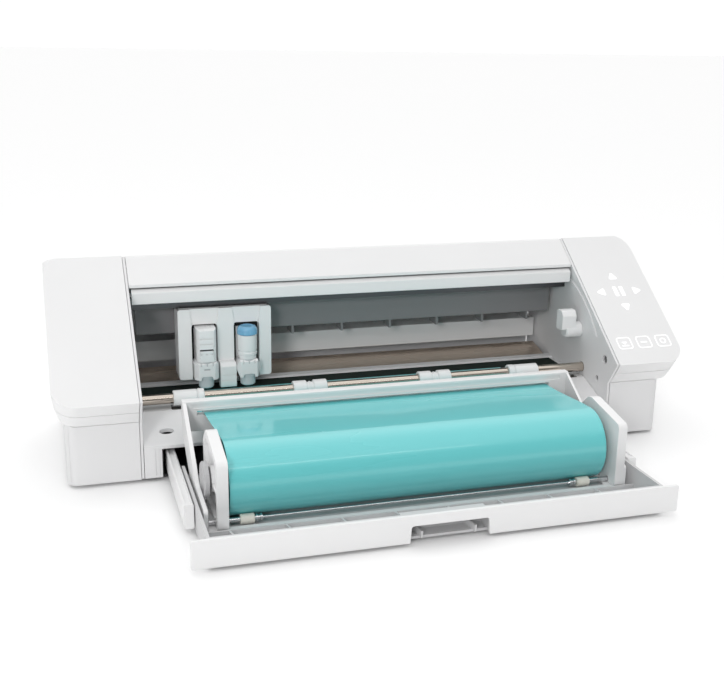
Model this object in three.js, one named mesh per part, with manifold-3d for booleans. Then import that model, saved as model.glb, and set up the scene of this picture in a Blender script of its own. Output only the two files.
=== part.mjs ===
// A desktop vinyl cutter with its roll feeder drawer pulled out and a roll of vinyl loaded.
//
// Millimetres, +Z up, +X to the right of the machine, -Y towards the user.
// The pieces are placed in the machine's own frame, where y = 0 is the front edge of the two
// end covers, x = 0 is the middle of the width and z = 0 is the surface it stands on.
// The exported group moves that frame so that the origin is the middle of the footprint.

import * as THREE from 'three';
import { mergeVertices } from 'three/addons/utils/BufferGeometryUtils.js';
import Module from 'manifold-3d';

const wasm = await Module();
wasm.setup();

// ---------------------------------------------------------------- driving dimensions

const width = 570;              // over the two end covers
const backY = 195;              // back of the machine
const crestY = 130;             // the sloped top ends here ...
const crestZ = 170;             // ... at this height, the highest line of the machine
const lipZ = 75.2;              // front edge of the sloped top
const backTopZ = 150;           // the roof falls to this height at the back
const slabDrop = 32.2;          // end cover's thickness, measured straight down
const gap = 0.4;                // clearance between neighbouring pieces

const half = width / 2;
const leftWallX = -214.3;       // inner faces of the two side walls
const rightWallX = 212.9;
const wallThickness = 2.2;
const skin = 2.6;               // moulded wall thickness

const baseFrontY = 15.1;        // the base is set back under the end covers
const baseBottomZ = 3;
const baseLeftX = -275.8;
const baseRightX = 268.7;
const cornerRadius = 18;

const sheetTopZ = 47.1;         // top of the vinyl as it lies on the platen
const sheetThickness = 0.5;
const platenTopZ = 46.3;

const feedY = 67;               // the feed shaft and the pinch shaft lie one above the other
const gritRadius = 6;
const feedZ = sheetTopZ - sheetThickness - 0.2 - gritRadius;
const pinchRadius = 7.2;
const pinchZ = sheetTopZ + 0.2 + pinchRadius;

const gearModule = 1;
const gearTeeth = 32;
const pinionTeeth = 12;
const gearDistance = gearModule * (gearTeeth + pinionTeeth) / 2;

const beltY = 122.5;            // middle of the carriage belt's loop
const pulleyX = 228;
const pulleyRadius = 4.5;

const lidPivotY = 144;          // centre of the arc that the lid's pins run on
const lidPivotZ = 15;
const lidPinReach = 34;         // pins stand this far before and behind the pivot
const lidPinZ = 139;
const lidTurn = 36.1;           // degrees from open to closed

const drawerFrontY = -153.4;
const drawerLeftX = -198.8;
const drawerRightX = 184.3;
const trayLeftX = -187;
const trayRightX = 172.5;
const trayBackY = -15;
const drawerTopZ = 24.9;

const rollY = -72.4;            // axis of the loaded roll
const rollZ = 35.4;
const rollRadius = 29.5;
const rollLeftX = -162;
const rollRightX = 148;
const supportRadius = 4;
const supportReach = 22;        // support rollers stand this far before and behind the roll's axis
const supportZ = rollZ - Math.sqrt((rollRadius + supportRadius + 0.4) ** 2 - supportReach ** 2);

const footprintShift = (backY + drawerFrontY) / 2;

const white = '#f1f2f3';
const paleGrey = '#dfe1e4';
const shade = '#b9bcc1';
const steel = '#a9abae';
const dark = '#2b2d31';
const teal = '#3fb9b5';

// ---------------------------------------------------------------- geometry helpers

function solidOf(geometry) {
  const plain = geometry.clone();
  plain.deleteAttribute('normal');
  plain.deleteAttribute('uv');
  const merged = mergeVertices(plain, 1e-4);
  return new wasm.Manifold(new wasm.Mesh({
    numProp: 3,
    vertProperties: new Float32Array(merged.attributes.position.array),
    triVerts: new Uint32Array(merged.index.array),
  }));
}

function geometryOf(solid) {
  const mesh = solid.getMesh();
  const geometry = new THREE.BufferGeometry();
  geometry.setAttribute('position', new THREE.BufferAttribute(mesh.vertProperties, 3));
  geometry.setIndex(new THREE.BufferAttribute(mesh.triVerts, 1));
  geometry.computeVertexNormals();
  return geometry;
}

function join(first, ...others) {
  return geometryOf(others.reduce((solid, other) => solid.add(solidOf(other)), solidOf(first)));
}

function cut(first, ...tools) {
  return geometryOf(tools.reduce((solid, tool) => solid.subtract(solidOf(tool)), solidOf(first)));
}

function common(first, ...others) {
  return geometryOf(others.reduce((solid, other) => solid.intersect(solidOf(other)), solidOf(first)));
}

function box(x0, x1, y0, y1, z0, z1) {
  const geometry = new THREE.BoxGeometry(x1 - x0, y1 - y0, z1 - z0);
  return geometry.translate((x0 + x1) / 2, (y0 + y1) / 2, (z0 + z1) / 2);
}

function outline(points) {
  return points instanceof THREE.Shape ? points : new THREE.Shape(points.map(([a, b]) => new THREE.Vector2(a, b)));
}

function extrude(points, depth, steps = 8) {
  return new THREE.ExtrudeGeometry(outline(points), { depth, bevelEnabled: false, curveSegments: steps });
}

// Outline in (y, z), extruded from x0 to x1.
function prismX(points, x0, x1, steps) {
  const turn = new THREE.Matrix4().makeBasis(
    new THREE.Vector3(0, 1, 0), new THREE.Vector3(0, 0, 1), new THREE.Vector3(1, 0, 0));
  return extrude(points, x1 - x0, steps).applyMatrix4(turn).translate(x0, 0, 0);
}

// Outline in (x, z), extruded from y0 to y1.
function prismY(points, y0, y1, steps) {
  const turn = new THREE.Matrix4().makeBasis(
    new THREE.Vector3(1, 0, 0), new THREE.Vector3(0, 0, 1), new THREE.Vector3(0, -1, 0));
  return extrude(points, y1 - y0, steps).applyMatrix4(turn).translate(0, y1, 0);
}

// Outline in (x, y), extruded from z0 to z1.
function prismZ(points, z0, z1, steps) {
  return extrude(points, z1 - z0, steps).translate(0, 0, z0);
}

function roundedRect(a0, a1, b0, b1, radius) {
  const [r00, r10, r11, r01] = Array.isArray(radius) ? radius : [radius, radius, radius, radius];
  const shape = new THREE.Shape();
  shape.moveTo(a0 + r00, b0);
  shape.lineTo(a1 - r10, b0);
  if (r10) shape.absarc(a1 - r10, b0 + r10, r10, -Math.PI / 2, 0, false);
  shape.lineTo(a1, b1 - r11);
  if (r11) shape.absarc(a1 - r11, b1 - r11, r11, 0, Math.PI / 2, false);
  shape.lineTo(a0 + r01, b1);
  if (r01) shape.absarc(a0 + r01, b1 - r01, r01, Math.PI / 2, Math.PI, false);
  shape.lineTo(a0, b0 + r00);
  if (r00) shape.absarc(a0 + r00, b0 + r00, r00, Math.PI, 1.5 * Math.PI, false);
  return shape;
}

function disc(a, b, radius, bore = 0) {
  const shape = new THREE.Shape();
  shape.absarc(a, b, radius, 0, 2 * Math.PI, false);
  if (bore) {
    const hole = new THREE.Path();
    hole.absarc(a, b, bore, 0, 2 * Math.PI, true);
    shape.holes.push(hole);
  }
  return shape;
}

function rodX(radius, x0, x1, y, z, steps = 12) {
  return prismX(disc(y, z, radius), x0, x1, steps);
}

function rodY(radius, y0, y1, x, z, steps = 12) {
  return prismY(disc(x, z, radius), y0, y1, steps);
}

function rodZ(radius, z0, z1, x, y, steps = 12) {
  return prismZ(disc(x, y, radius), z0, z1, steps);
}

function tubeX(radius, bore, x0, x1, y, z, steps = 12) {
  return prismX(disc(y, z, radius, bore), x0, x1, steps);
}

// Turned piece along X from a list of (x, radius) corners that starts and ends on the axis.
function turnedX(profile, y, z, steps = 24) {
  const points = profile.map(([along, radius]) => new THREE.Vector2(radius, along));
  const geometry = new THREE.LatheGeometry(points, steps).rotateZ(-Math.PI / 2).translate(0, y, z);
  return solidified(geometry);
}

function turnedZ(profile, x, y, steps = 20) {
  const points = profile.map(([along, radius]) => new THREE.Vector2(radius, along));
  const geometry = new THREE.LatheGeometry(points, steps).rotateX(Math.PI / 2).translate(x, y, 0);
  return solidified(geometry);
}

// Merged copy of a closed surface with its faces turned outwards.
function solidified(geometry) {
  const plain = geometry.clone();
  plain.deleteAttribute('normal');
  plain.deleteAttribute('uv');
  const merged = mergeVertices(plain, 1e-4);
  const place = merged.attributes.position;
  const kept = [];
  let volume = 0;
  for (let i = 0; i < merged.index.count; i += 3) {
    const [a, b, c] = [0, 1, 2].map((k) => merged.index.getX(i + k));
    if (a === b || b === c || c === a) continue;
    kept.push(a, b, c);
    const [p, q, r] = [a, b, c].map((k) => new THREE.Vector3().fromBufferAttribute(place, k));
    volume += p.dot(q.cross(r));
  }
  if (volume < 0) kept.reverse();
  merged.setIndex(kept);
  merged.computeVertexNormals();
  return merged;
}

// Outline moved inwards by a distance, corner by corner (points run counter-clockwise).
function inset(points, distance) {
  return points.map((corner, i) => {
    const before = points[(i + points.length - 1) % points.length];
    const after = points[(i + 1) % points.length];
    const [n0, n1] = [[before, corner], [corner, after]].map(([p, q]) => {
      const length = Math.hypot(q[0] - p[0], q[1] - p[1]);
      return [-(q[1] - p[1]) / length, (q[0] - p[0]) / length];
    });
    const scale = distance / (1 + n0[0] * n1[0] + n0[1] * n1[1]);
    return [corner[0] + (n0[0] + n1[0]) * scale, corner[1] + (n0[1] + n1[1]) * scale];
  });
}

function gearOutline(teeth, y, z, bore, startAngle) {
  const pitchRadius = gearModule * teeth / 2;
  const step = 2 * Math.PI / teeth;
  const shape = new THREE.Shape();
  for (let i = 0; i < teeth; i += 1) {
    const middle = startAngle + i * step;
    const corners = [[-0.34, -1.15], [-0.13, 0.8], [0.13, 0.8], [0.34, -1.15]];
    corners.forEach(([turn, rise], k) => {
      const radius = pitchRadius + rise * gearModule;
      const angle = middle + turn * step;
      const point = [y + radius * Math.cos(angle), z + radius * Math.sin(angle)];
      if (i === 0 && k === 0) shape.moveTo(...point);
      else shape.lineTo(...point);
    });
  }
  shape.closePath();
  const hole = new THREE.Path();
  hole.absarc(y, z, bore, 0, 2 * Math.PI, true);
  shape.holes.push(hole);
  return shape;
}

// ---------------------------------------------------------------- the assembly

const machine = new THREE.Group();
machine.position.y = -footprintShift;

function piece(name, geometry, color, roughness = 0.55, metalness = 0) {
  const material = new THREE.MeshStandardMaterial({ color, roughness, metalness });
  const mesh = new THREE.Mesh(geometry, material);
  mesh.name = name;
  machine.add(mesh);
  return mesh;
}

function slopeZ(y) {
  return lipZ + (crestZ - lipZ) * y / crestY;
}

// ---- end covers: thick sloped slabs with rounded outer corners, open towards the side walls

function endCoverProfile() {
  return [
    [0, lipZ], [15.3, slopeZ(15.3) - slabDrop], [120, slopeZ(120) - slabDrop],
    [backY, 124], [backY, backTopZ], [crestY, crestZ],
  ];
}

// Geometry with z raised by rise for each millimetre behind y0, starting from z0.
function raised(geometry, rise, y0, z0) {
  const shear = new THREE.Matrix4().set(1, 0, 0, 0, 0, 1, 0, 0, 0, rise, 1, z0 - rise * y0, 0, 0, 0, 1);
  return geometry.applyMatrix4(shear);
}

// What is cut from an end cover so that its outer side draws in towards the base below.
function sideTaper(side, depth) {
  const [middle, low] = side < 0 ? [1.8, 7] : [3.7, 12.5];
  const section = [
    [0.5 - depth, -1], [-middle - depth, -16.5], [-low - depth, -slabDrop - 0.6], [-low - depth, -60], [20, -60], [20, -1],
  ].map(([out, z]) => [side * (half + out), z]);
  const rearTilt = (124 - slopeZ(120) + slabDrop) / (backY - 120);
  return [
    raised(prismY(section, -20, 120), (crestZ - lipZ) / crestY, 0, lipZ),
    raised(prismY(section, 120, backY + 20), rearTilt, 120, slopeZ(120)),
  ];
}

function endCover(side) {
  const profile = endCoverProfile();
  const inner = side < 0 ? leftWallX - wallThickness - gap : rightWallX + wallThickness + gap;
  const [x0, x1] = side < 0 ? [-half, inner] : [inner, half];
  const planRadii = side < 0 ? [cornerRadius, 0, 0, 12] : [0, cornerRadius, 12, 0];
  const frontRadii = side < 0 ? [0, 0, 0, cornerRadius] : [0, 0, cornerRadius, 0];
  const shell = common(
    prismX(profile, x0, x1),
    prismZ(roundedRect(x0, x1, 0, backY, planRadii), 0, crestZ + 1, 6),
    prismY(roundedRect(x0, x1, 0, crestZ, frontRadii), -1, backY + 1, 6));
  const room = inset(profile, 3);
  const [roomX0, roomX1] = side < 0 ? [x0 + 3, x1 + 1] : [x0 - 1, x1 - 3];
  const roomRadii = side < 0 ? [cornerRadius - 3, 0, 0, 9] : [0, cornerRadius - 3, 9, 0];
  const roomFrontRadii = side < 0 ? [0, 0, 0, cornerRadius - 3] : [0, 0, cornerRadius - 3, 0];
  const cavity = common(
    prismX(room, roomX0, roomX1),
    prismZ(roundedRect(roomX0, roomX1, 3, backY - 3, roomRadii), 0, crestZ, 6),
    prismY(roundedRect(roomX0, roomX1, 0, crestZ - 3, roomFrontRadii), -1, backY + 1, 6));
  const railX = side < 0 ? [-pulleyX - 14, x1 + 1] : [x0 - 1, pulleyX + 14];
  const railRoom = box(...railX, 112, 132.5, 120, 139);
  return cut(shell, ...sideTaper(side, 0), cut(cavity, ...sideTaper(side, 3.2)), railRoom);
}

// ---- base covers: upright boxes under the end covers, open towards the side walls

function baseCoverProfile() {
  const underSlab = (y) => slopeZ(y) - slabDrop - 0.5;
  return [
    [baseFrontY, baseBottomZ], [backY - gap, baseBottomZ], [backY - gap, 123.5],
    [120, underSlab(120)], [baseFrontY, underSlab(baseFrontY)],
  ];
}

function baseCover(side) {
  const profile = baseCoverProfile();
  const inner = side < 0 ? leftWallX - wallThickness - gap : rightWallX + wallThickness + gap;
  const [x0, x1] = side < 0 ? [baseLeftX, inner] : [inner, baseRightX];
  const radii = side < 0 ? [6, 0, 0, 6] : [0, 6, 6, 0];
  const shell = common(
    prismX(profile, x0, x1),
    prismZ(roundedRect(x0, x1, baseFrontY, backY - gap, radii), 0, crestZ, 4));
  const [roomX0, roomX1] = side < 0 ? [x0 + skin, x1 + 1] : [x0 - 1, x1 - skin];
  const room = prismX(inset(profile, skin), roomX0, roomX1);
  const railX = side < 0 ? [-pulleyX - 14, x1 + 1] : [x0 - 1, pulleyX + 14];
  return cut(shell, room, box(...railX, 112, 132.5, 120, 139));
}

const inletX = 240;
const inletZ = 28;
const usbX = 240;
const usbZ = 48;

function rightBaseCover() {
  return cut(
    baseCover(1),
    box(inletX - 8, inletX + 8, backY - 8, backY + 1, inletZ - 6, inletZ + 6),
    box(usbX - 7, usbX + 7, backY - 8, backY + 1, usbZ - 6.5, usbZ + 6.5));
}

function foot(x, y) {
  return turnedZ([[0, 0], [0, 8], [0.8, 9], [baseBottomZ - 0.3, 9], [baseBottomZ - 0.3, 0]], x, y, 24);
}

// ---- side walls with shaft bores, the rail's window and a shallow curved track for the lid's pins

const trackDepth = 1.4;

function lidTrack(x0, x1) {
  const radius = Math.hypot(lidPinReach, lidPinZ - lidPivotZ);
  const lead = Math.atan2(lidPinReach, lidPinZ - lidPivotZ);
  const start = Math.PI / 2 - lead - 0.03;
  const end = Math.PI / 2 + lead + THREE.MathUtils.degToRad(lidTurn) + 0.03;
  const shape = new THREE.Shape();
  shape.absarc(lidPivotY, lidPivotZ, radius + 2.6, start, end, false);
  shape.absarc(lidPivotY, lidPivotZ, radius - 2.6, end, start, true);
  return prismX(shape, x0, x1, 16);
}

function sideWall(side) {
  const x0 = side < 0 ? leftWallX - wallThickness : rightWallX;
  const x1 = x0 + wallThickness;
  const profile = [
    [1.2, lipZ], [baseFrontY + 0.6, 53.2], [baseFrontY + 0.6, baseBottomZ + 0.4],
    [backY - 3, baseBottomZ + 0.4], [backY - 3, backTopZ - 0.6], [crestY, crestZ - 0.8],
  ];
  const through = [x0 - 1, x1 + 1];
  const track = side < 0 ? [leftWallX - trackDepth, leftWallX + 1] : [rightWallX - 1, rightWallX + trackDepth];
  const bores = [
    rodX(4.9, ...through, feedY, pinchZ),
    rodX(3.5, ...through, feedY, feedZ),
    box(...through, 113.4, 130.6, 123.4, 137.6),
    lidTrack(...track),
  ];
  if (side > 0) {
    bores.push(rodX(4.2, ...through, 24, 74, 8), rodX(2.6, ...through, 36, 52.5, 6));
    bores.push(rodX(3.4, ...through, leverY, leverZ, 8));
  }
  return cut(prismX(profile, x0, x1), ...bores);
}

// ---- roof, back and floor

function topCover() {
  const front = 101.5;
  const thickness = 2.6;
  const profile = [
    [front, slopeZ(front)], [front, slopeZ(front) - thickness * 1.24],
    [crestY + 0.4, crestZ - thickness * 1.24], [backY, backTopZ - thickness * 1.05],
    [backY, backTopZ], [crestY, crestZ],
  ];
  return prismX(profile, leftWallX + gap, rightWallX - gap);
}

function rearCover() {
  const [x0, x1] = [leftWallX + gap, rightWallX - gap];
  const panel = box(x0, x1, backY - 2.6, backY, baseBottomZ + 0.5, backTopZ - 3.2);
  const sheetSlot = box(-204, 204, backY - 4, backY + 1, 53.6, 64);
  const vents = [];
  for (let i = 0; i < 9; i += 1) {
    const x = -72 + i * 18;
    vents.push(prismY(roundedRect(x - 6, x + 6, 98, 102, 2), backY - 4, backY + 1, 3));
  }
  return cut(panel, sheetSlot, ...vents);
}

function bottomPan() {
  const pan = box(leftWallX + gap, rightWallX - gap, 22, backY - 3, 1, 2.6);
  const leftRail = box(-200, -197.6, 22, 190, 2, 26.5);
  const rightRail = box(183.1, 185.5, 22, 190, 2, 26.5);
  const leftFlange = box(-200, -191, 22, 190, 25.2, 26.5);
  const rightFlange = box(176.5, 185.5, 22, 190, 25.2, 26.5);
  return join(pan, leftRail, rightRail, leftFlange, rightFlange);
}

function middleDeck() {
  return box(leftWallX + gap, rightWallX - gap, 26, backY - 3, 28.4, 30.2);
}

// ---- media path

const gritBands = [[-184, -155], [-78, -43], [42, 77], [92, 205]];

function frontPlaten() {
  const [x0, x1] = [leftWallX + gap, rightWallX - gap];
  const profile = [
    [baseFrontY, 31.4], [baseFrontY, 28.6], [18, 28.6], [60.5, platenTopZ - 2.6], [138, platenTopZ - 2.6],
    [138, 47.9], [128.4, 47.9], [128.4, platenTopZ], [60, platenTopZ],
  ];
  const leftSkirt = box(x0, -199.2, baseFrontY, baseFrontY + 2.5, baseBottomZ + gap, 30);
  const rightSkirt = box(187.3, x1, baseFrontY, baseFrontY + 2.5, baseBottomZ + gap, 30);
  const windows = gritBands.map(([a, b]) => box(a - 1, b + 1, 60.2, 73.8, 40, 50));
  const groove = box(x0 + 4, x1 - 4, 95.6, 128, platenTopZ - 1.1, platenTopZ + 1);
  return cut(join(prismX(profile, x0, x1), leftSkirt, rightSkirt), ...windows, groove);
}

function cuttingStrip() {
  return box(leftWallX + 5, rightWallX - 5, 96, 127.8, platenTopZ - 0.8, platenTopZ);
}

function rearPlaten() {
  const profile = [[138.4, 47.8], [138.4, 45.4], [164.6, 51.8], [164.6, 54.2]];
  return prismX(profile, -207, 207);
}

function upperBackPanel() {
  const panel = box(-207, 207, 134.6, 137, 94.8, 141);
  const ribs = [];
  for (let i = -3; i <= 4; i += 1) {
    const x = -11.5 + 48.8 * i;
    ribs.push(box(x - 1.2, x + 1.2, 134.6, 152, 87, 96));
  }
  return join(panel, ...ribs);
}

function lowerBackPanel() {
  return join(box(-207, 207, 165, 167.4, 60, 80), box(-207, 207, 165, 190, 78, 80));
}

// ---- carriage rail, belt and drive

function carriageRail() {
  const profile = [
    [114, 124], [130, 124], [130, 126], [115.6, 126], [115.6, 135], [130, 135], [130, 137], [114, 137],
  ];
  const shaftHoles = [-pulleyX, pulleyX].map((x) => rodZ(2.6, 122, 128, x, beltY, 8));
  return cut(prismX(profile, -pulleyX - 12, pulleyX + 12), ...shaftHoles);
}

function belt() {
  const outer = roundedRect(-pulleyX - 6, pulleyX + 6, beltY - 6, beltY + 6, 5.99);
  const inner = roundedRect(-pulleyX - 4.8, pulleyX + 4.8, beltY - 4.8, beltY + 4.8, 4.79);
  const hole = new THREE.Path(inner.getPoints(6));
  outer.holes.push(hole);
  return prismZ(outer, 128.2, 132.8, 6);
}

function pulley(x) {
  const profile = [[123.2, 0], [123.2, 2], [127, 2], [127, pulleyRadius], [134, pulleyRadius], [134, 0]];
  return turnedZ(profile, x, beltY, 20);
}

function carriageMotor() {
  const body = box(pulleyX - 12, pulleyX + 12, beltY - 12, beltY + 12, 88, 117);
  const boss = rodZ(6, 117, 122.6, pulleyX, beltY, 8);
  return join(body, boss);
}

// ---- tool carriage

const toolWindows = [[-160.2, -136.8], [-121.8, -98.4]];

function carriageCover() {
  const plate = prismY(roundedRect(-172.2, -87.3, 57.8, 123.4, 2.5), 106, 109, 4);
  const cheeks = [[-172.2, -170.2], [-89.3, -87.3]].map(([a, b]) => box(a, b, 108, 130.6, 59.5, 121.5));
  const nose = prismZ(roundedRect(-136, -121.6, 96, 107, [3, 3, 0, 0]), 50.8, 74, 4);
  const windows = toolWindows.map(([a, b]) => box(a, b, 100, 112, 50, 108.8));
  return cut(join(plate, ...cheeks, nose), ...windows);
}

function carriageBody() {
  const block = box(-169.8, -89.7, 115, 130.6, 62, 122.6);
  const clampPost = box(-142, -118, 130.2, 133.4, 112, 131.6);
  const clampTongue = box(-142, -118, 129, 133.4, 129.4, 131.6);
  return join(block, clampPost, clampTongue);
}

const toolAxes = [-148.5, -110.2];
const toolY = 102.5;

function toolHolder(x) {
  const block = prismZ(roundedRect(x - 11, x + 11, 93.4, 113.6, [5, 5, 1, 1]), 60, 76.5, 4);
  const slide = box(x - 9, x + 9, 111.6, 114.4, 60, 104);
  return cut(join(block, slide), rodZ(8.2, 50, 90, x, toolY));
}

function tool(x, topZ) {
  const profile = [
    [50.6, 0], [50.6, 3.4], [52.4, 7.2], [60, 7.2], [60, 7.8], [77, 7.8], [77, 8.9], [topZ, 8.9], [topZ, 0],
  ];
  return turnedZ(profile, x, toolY, 24);
}

function toolCap(x) {
  const profile = [[99.3, 0], [99.3, 9.1], [105, 9.1], [106.8, 8], [106.8, 0]];
  return turnedZ(profile, x, toolY, 24);
}

// ---- feed and pinch shafts

function feedShaft() {
  const profile = [[-222, 0], [-222, 3]];
  gritBands.forEach(([a, b]) => profile.push([a, 3], [a, gritRadius], [b, gritRadius], [b, 3]));
  profile.push([231, 3], [231, 0]);
  return turnedX(profile, feedY, feedZ, 24);
}

function feedGear() {
  return prismX(gearOutline(gearTeeth, feedY, feedZ, 3.3, 0), 222.6, 229.8, 6);
}

function motorPinion() {
  const phase = Math.PI + Math.PI / pinionTeeth;
  return prismX(gearOutline(pinionTeeth, feedY + gearDistance, feedZ, 2.3, phase), 222.6, 229.8, 6);
}

function feedMotor() {
  const [y, z] = [feedY + gearDistance, feedZ];
  return join(box(233.4, 257, y - 14, y + 14, z - 14, z + 14), rodX(2, 222, 234, y, z, 6));
}

function pinchShaft() {
  return rodX(4.5, -222, 222, feedY, pinchZ, 14);
}

function pinchRoller(x0, x1) {
  return tubeX(pinchRadius, 4.9, x0, x1, feedY, pinchZ, 16);
}

// Two short rollers on one narrower sleeve.
function rollerPair(x0, x1, x2, x3) {
  const sleeve = tubeX(5.9, 4.9, x0, x3, feedY, pinchZ, 16);
  return join(sleeve, pinchRoller(x0, x1), pinchRoller(x2, x3));
}

// ---- pinch release lever on the right side wall

const leverY = 77;
const leverZ = 90;

function releaseLever() {
  const hub = rodX(7.5, 196, rightWallX - gap, leverY, leverZ, 10);
  const pin = rodX(3, 200, rightWallX + wallThickness + 1.6, leverY, leverZ, 8);
  const grip = prismX(roundedRect(leverY - 6.5, leverY + 6.5, leverZ + 3, leverZ + 20, 3), 191, 206, 4);
  return join(hub, pin, grip);
}

// ---- lid

function lid() {
  const [x0, x1] = [-212, 211];
  const panel = prismX([[99, 132], [101.6, 132], [101.6, 142.4], [190, 142.4], [190, 145], [99, 145]], x0, x1);
  const parts = [];
  [lidPivotY - lidPinReach, lidPivotY + lidPinReach].forEach((y) => {
    parts.push(box(x0, x0 + 3, y - 3, y + 3, lidPinZ - 2, 143));
    parts.push(box(x1 - 3, x1, y - 3, y + 3, lidPinZ - 2, 143));
    parts.push(rodX(1.9, leftWallX - trackDepth + 0.3, x0 + 2, y, lidPinZ, 5));
    parts.push(rodX(1.9, x1 - 2, rightWallX + trackDepth - 0.3, y, lidPinZ, 5));
  });
  return join(panel, ...parts);
}

// ---- drawer

const notchX0 = -39;
const notchX1 = 25;
const notchTopZ = 16.5;

function drawerFront() {
  const face = prismY(roundedRect(drawerLeftX, drawerRightX, baseBottomZ, drawerTopZ, 1.5), drawerFrontY, -150.4, 3);
  const notch = box(notchX0, notchX1, drawerFrontY - 1, -149, baseBottomZ - 1, notchTopZ);
  return cut(face, notch);
}

function drawerTray() {
  const block = box(trayLeftX, trayRightX, -150.1, trayBackY, baseBottomZ, drawerTopZ - 0.6);
  const room = box(trayLeftX + 2.4, trayRightX - 2.4, -147.8, trayBackY + 1, baseBottomZ + 2, drawerTopZ + 1);
  const notch = box(notchX0, notchX1, -152, -146, baseBottomZ - 1, notchTopZ);
  return cut(block, room, notch);
}

function slideRail(x0, x1) {
  return box(x0, x1, -92, 78, 5, 24.6);
}

// ---- roll feeder

const frameLeftX = -182.6;
const frameRightX = 165;

function feederFrame() {
  const side = [[12, 46], [12, 72], [6, 72], [-56, 32], [-106, 12], [-106, 5.6], [-34, 5.6], [-34, 20]];
  const plates = [[frameLeftX, frameLeftX + 3.2], [frameRightX - 2.2, frameRightX]]
    .map(([a, b]) => prismX([...side].reverse(), a, b));
  const bar = box(frameLeftX, frameRightX, 4, 12, 46, 72);
  const floor = box(frameLeftX, frameRightX, -106, -34, 5.6, 7.2);
  const rollWindow = box(rollLeftX - 2, rollRightX + 2, -100.5, -44.3, 4, 9);
  const sheetSlot = box(-171, 146, 2, 14, 59, 63.4);
  return cut(join(bar, ...plates, floor), rollWindow, sheetSlot);
}

function feederArm(x0, x1) {
  const profile = [[-107, 7.6], [-40, 7.6], [-40, 58], [-54, 68], [-60, 69.4], [-107, 61]];
  const bores = [
    rodX(6.6, x0 - 1, x1 + 1, rollY, rollZ, 10),
    rodX(2.5, x0 - 1, x1 + 1, rollY - supportReach, supportZ, 8),
    rodX(2.5, x0 - 1, x1 + 1, rollY + supportReach, supportZ, 8),
  ];
  return cut(prismX(profile, x0, x1), ...bores);
}

// Thin shaft with a roller and a collar near each end, held in the two arms' bores.
function supportShaft(y) {
  const profile = [
    [-178, 0], [-178, 2], [-154, 2], [-154, supportRadius], [-143, supportRadius], [-143, 2], [-142, 2], [-142, 3],
    [-137, 3], [-137, 1.2], [119.5, 1.2], [119.5, 3], [124.5, 3], [124.5, 2], [126, 2], [126, supportRadius],
    [137, supportRadius], [137, 2], [162, 2], [162, 0],
  ];
  return turnedX(profile, y, supportZ, 20);
}

function vinylRoll() {
  return tubeX(rollRadius, 19.4, rollLeftX, rollRightX, rollY, rollZ, 28);
}

function rollCore() {
  return tubeX(19, 16.6, rollLeftX - 1, rollRightX + 1, rollY, rollZ, 20);
}

function rollSpindle() {
  const profile = [
    [-178.8, 0], [-178.8, 13], [-177.8, 14], [-174.6, 14], [-174.6, 6], [-163, 6], [-163, 16.2], [-154, 16.2],
    [-154, 4], [140, 4], [140, 16.2], [149, 16.2], [149, 6], [161.5, 6], [161.5, 0],
  ];
  return turnedX(profile, rollY, rollZ, 28);
}

// ---- the vinyl between the roll and the platen

const sheetLeftX = -164;
const sheetRightX = 143;

// Ribbon of the sheet's thickness under a line of (y, z) points that runs from front to back.
function ribbon(line) {
  const under = [...line].reverse().map(([y, z]) => [y, z - sheetThickness]);
  return prismX([...under, ...line].reverse(), sheetLeftX, sheetRightX);
}

function feederSheet() {
  const line = [];
  const topZ = rollZ + rollRadius + 0.3 + sheetThickness;
  line.push([rollY + 2, topZ], [-50, topZ - 1.2], [-20, 63], [3.4, 61.6], [11.8, 61.2]);
  return ribbon(line);
}

function platenSheet() {
  return ribbon([[12.2, 61.1], [20, 56.6], [32, 50.6], [44, 47.8], [56, sheetTopZ], [106, sheetTopZ]]);
}

// ---- electronics

function mainBoard() {
  const board = box(-262, -260.2, 60, 165, 14, 78);
  const parts = [
    box(-260.4, -255, 70, 92, 40, 62), box(-260.4, -250, 110, 128, 20, 34),
    box(-260.4, -252, 136, 156, 56, 70), box(-260.4, -254, 66, 100, 66, 74),
  ];
  return join(board, ...parts);
}

function touchBoard() {
  const [near, far] = [22, 108];
  const profile = [
    [near, slopeZ(near) - 8], [far, slopeZ(far) - 8], [far, slopeZ(far) - 6], [near, slopeZ(near) - 6],
  ];
  return prismX(profile, 221, 274);
}

function powerInlet() {
  const body = box(inletX - 7.6, inletX + 7.6, 180, backY - 0.2, inletZ - 5.6, inletZ + 5.6);
  return cut(body, cut(rodY(3.6, 184, backY + 1, inletX, inletZ, 8), rodY(1, 180, backY + 2, inletX, inletZ, 4)));
}

function usbPort() {
  const body = box(usbX - 6.6, usbX + 6.6, 179, backY - 0.2, usbZ - 6, usbZ + 6);
  return cut(body, box(usbX - 4, usbX + 4, 183, backY + 1, usbZ - 3.6, usbZ + 3.6));
}

// ---------------------------------------------------------------- pieces in their places

piece('left_end_cover', endCover(-1), white);
piece('right_end_cover', endCover(1), white);
piece('left_base_cover', baseCover(-1), paleGrey);
piece('right_base_cover', rightBaseCover(), paleGrey);
piece('top_cover', topCover(), white);
piece('rear_cover', rearCover(), paleGrey);
piece('bottom_pan', bottomPan(), shade);
piece('middle_deck', middleDeck(), shade);
piece('left_side_wall', sideWall(-1), white);
piece('right_side_wall', sideWall(1), white);

[['front_left', -250, 32], ['front_right', 246, 32], ['rear_left', -250, 176], ['rear_right', 246, 176]]
  .forEach(([place, x, y]) => piece(`foot_${place}`, foot(x, y), dark, 0.9));

piece('front_platen', frontPlaten(), paleGrey);
piece('cutting_strip', cuttingStrip(), '#1c201e', 0.3);
piece('rear_platen', rearPlaten(), '#a58f7d', 0.25, 0.6);
piece('upper_back_panel', upperBackPanel(), shade);
piece('lower_back_panel', lowerBackPanel(), shade);

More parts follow.
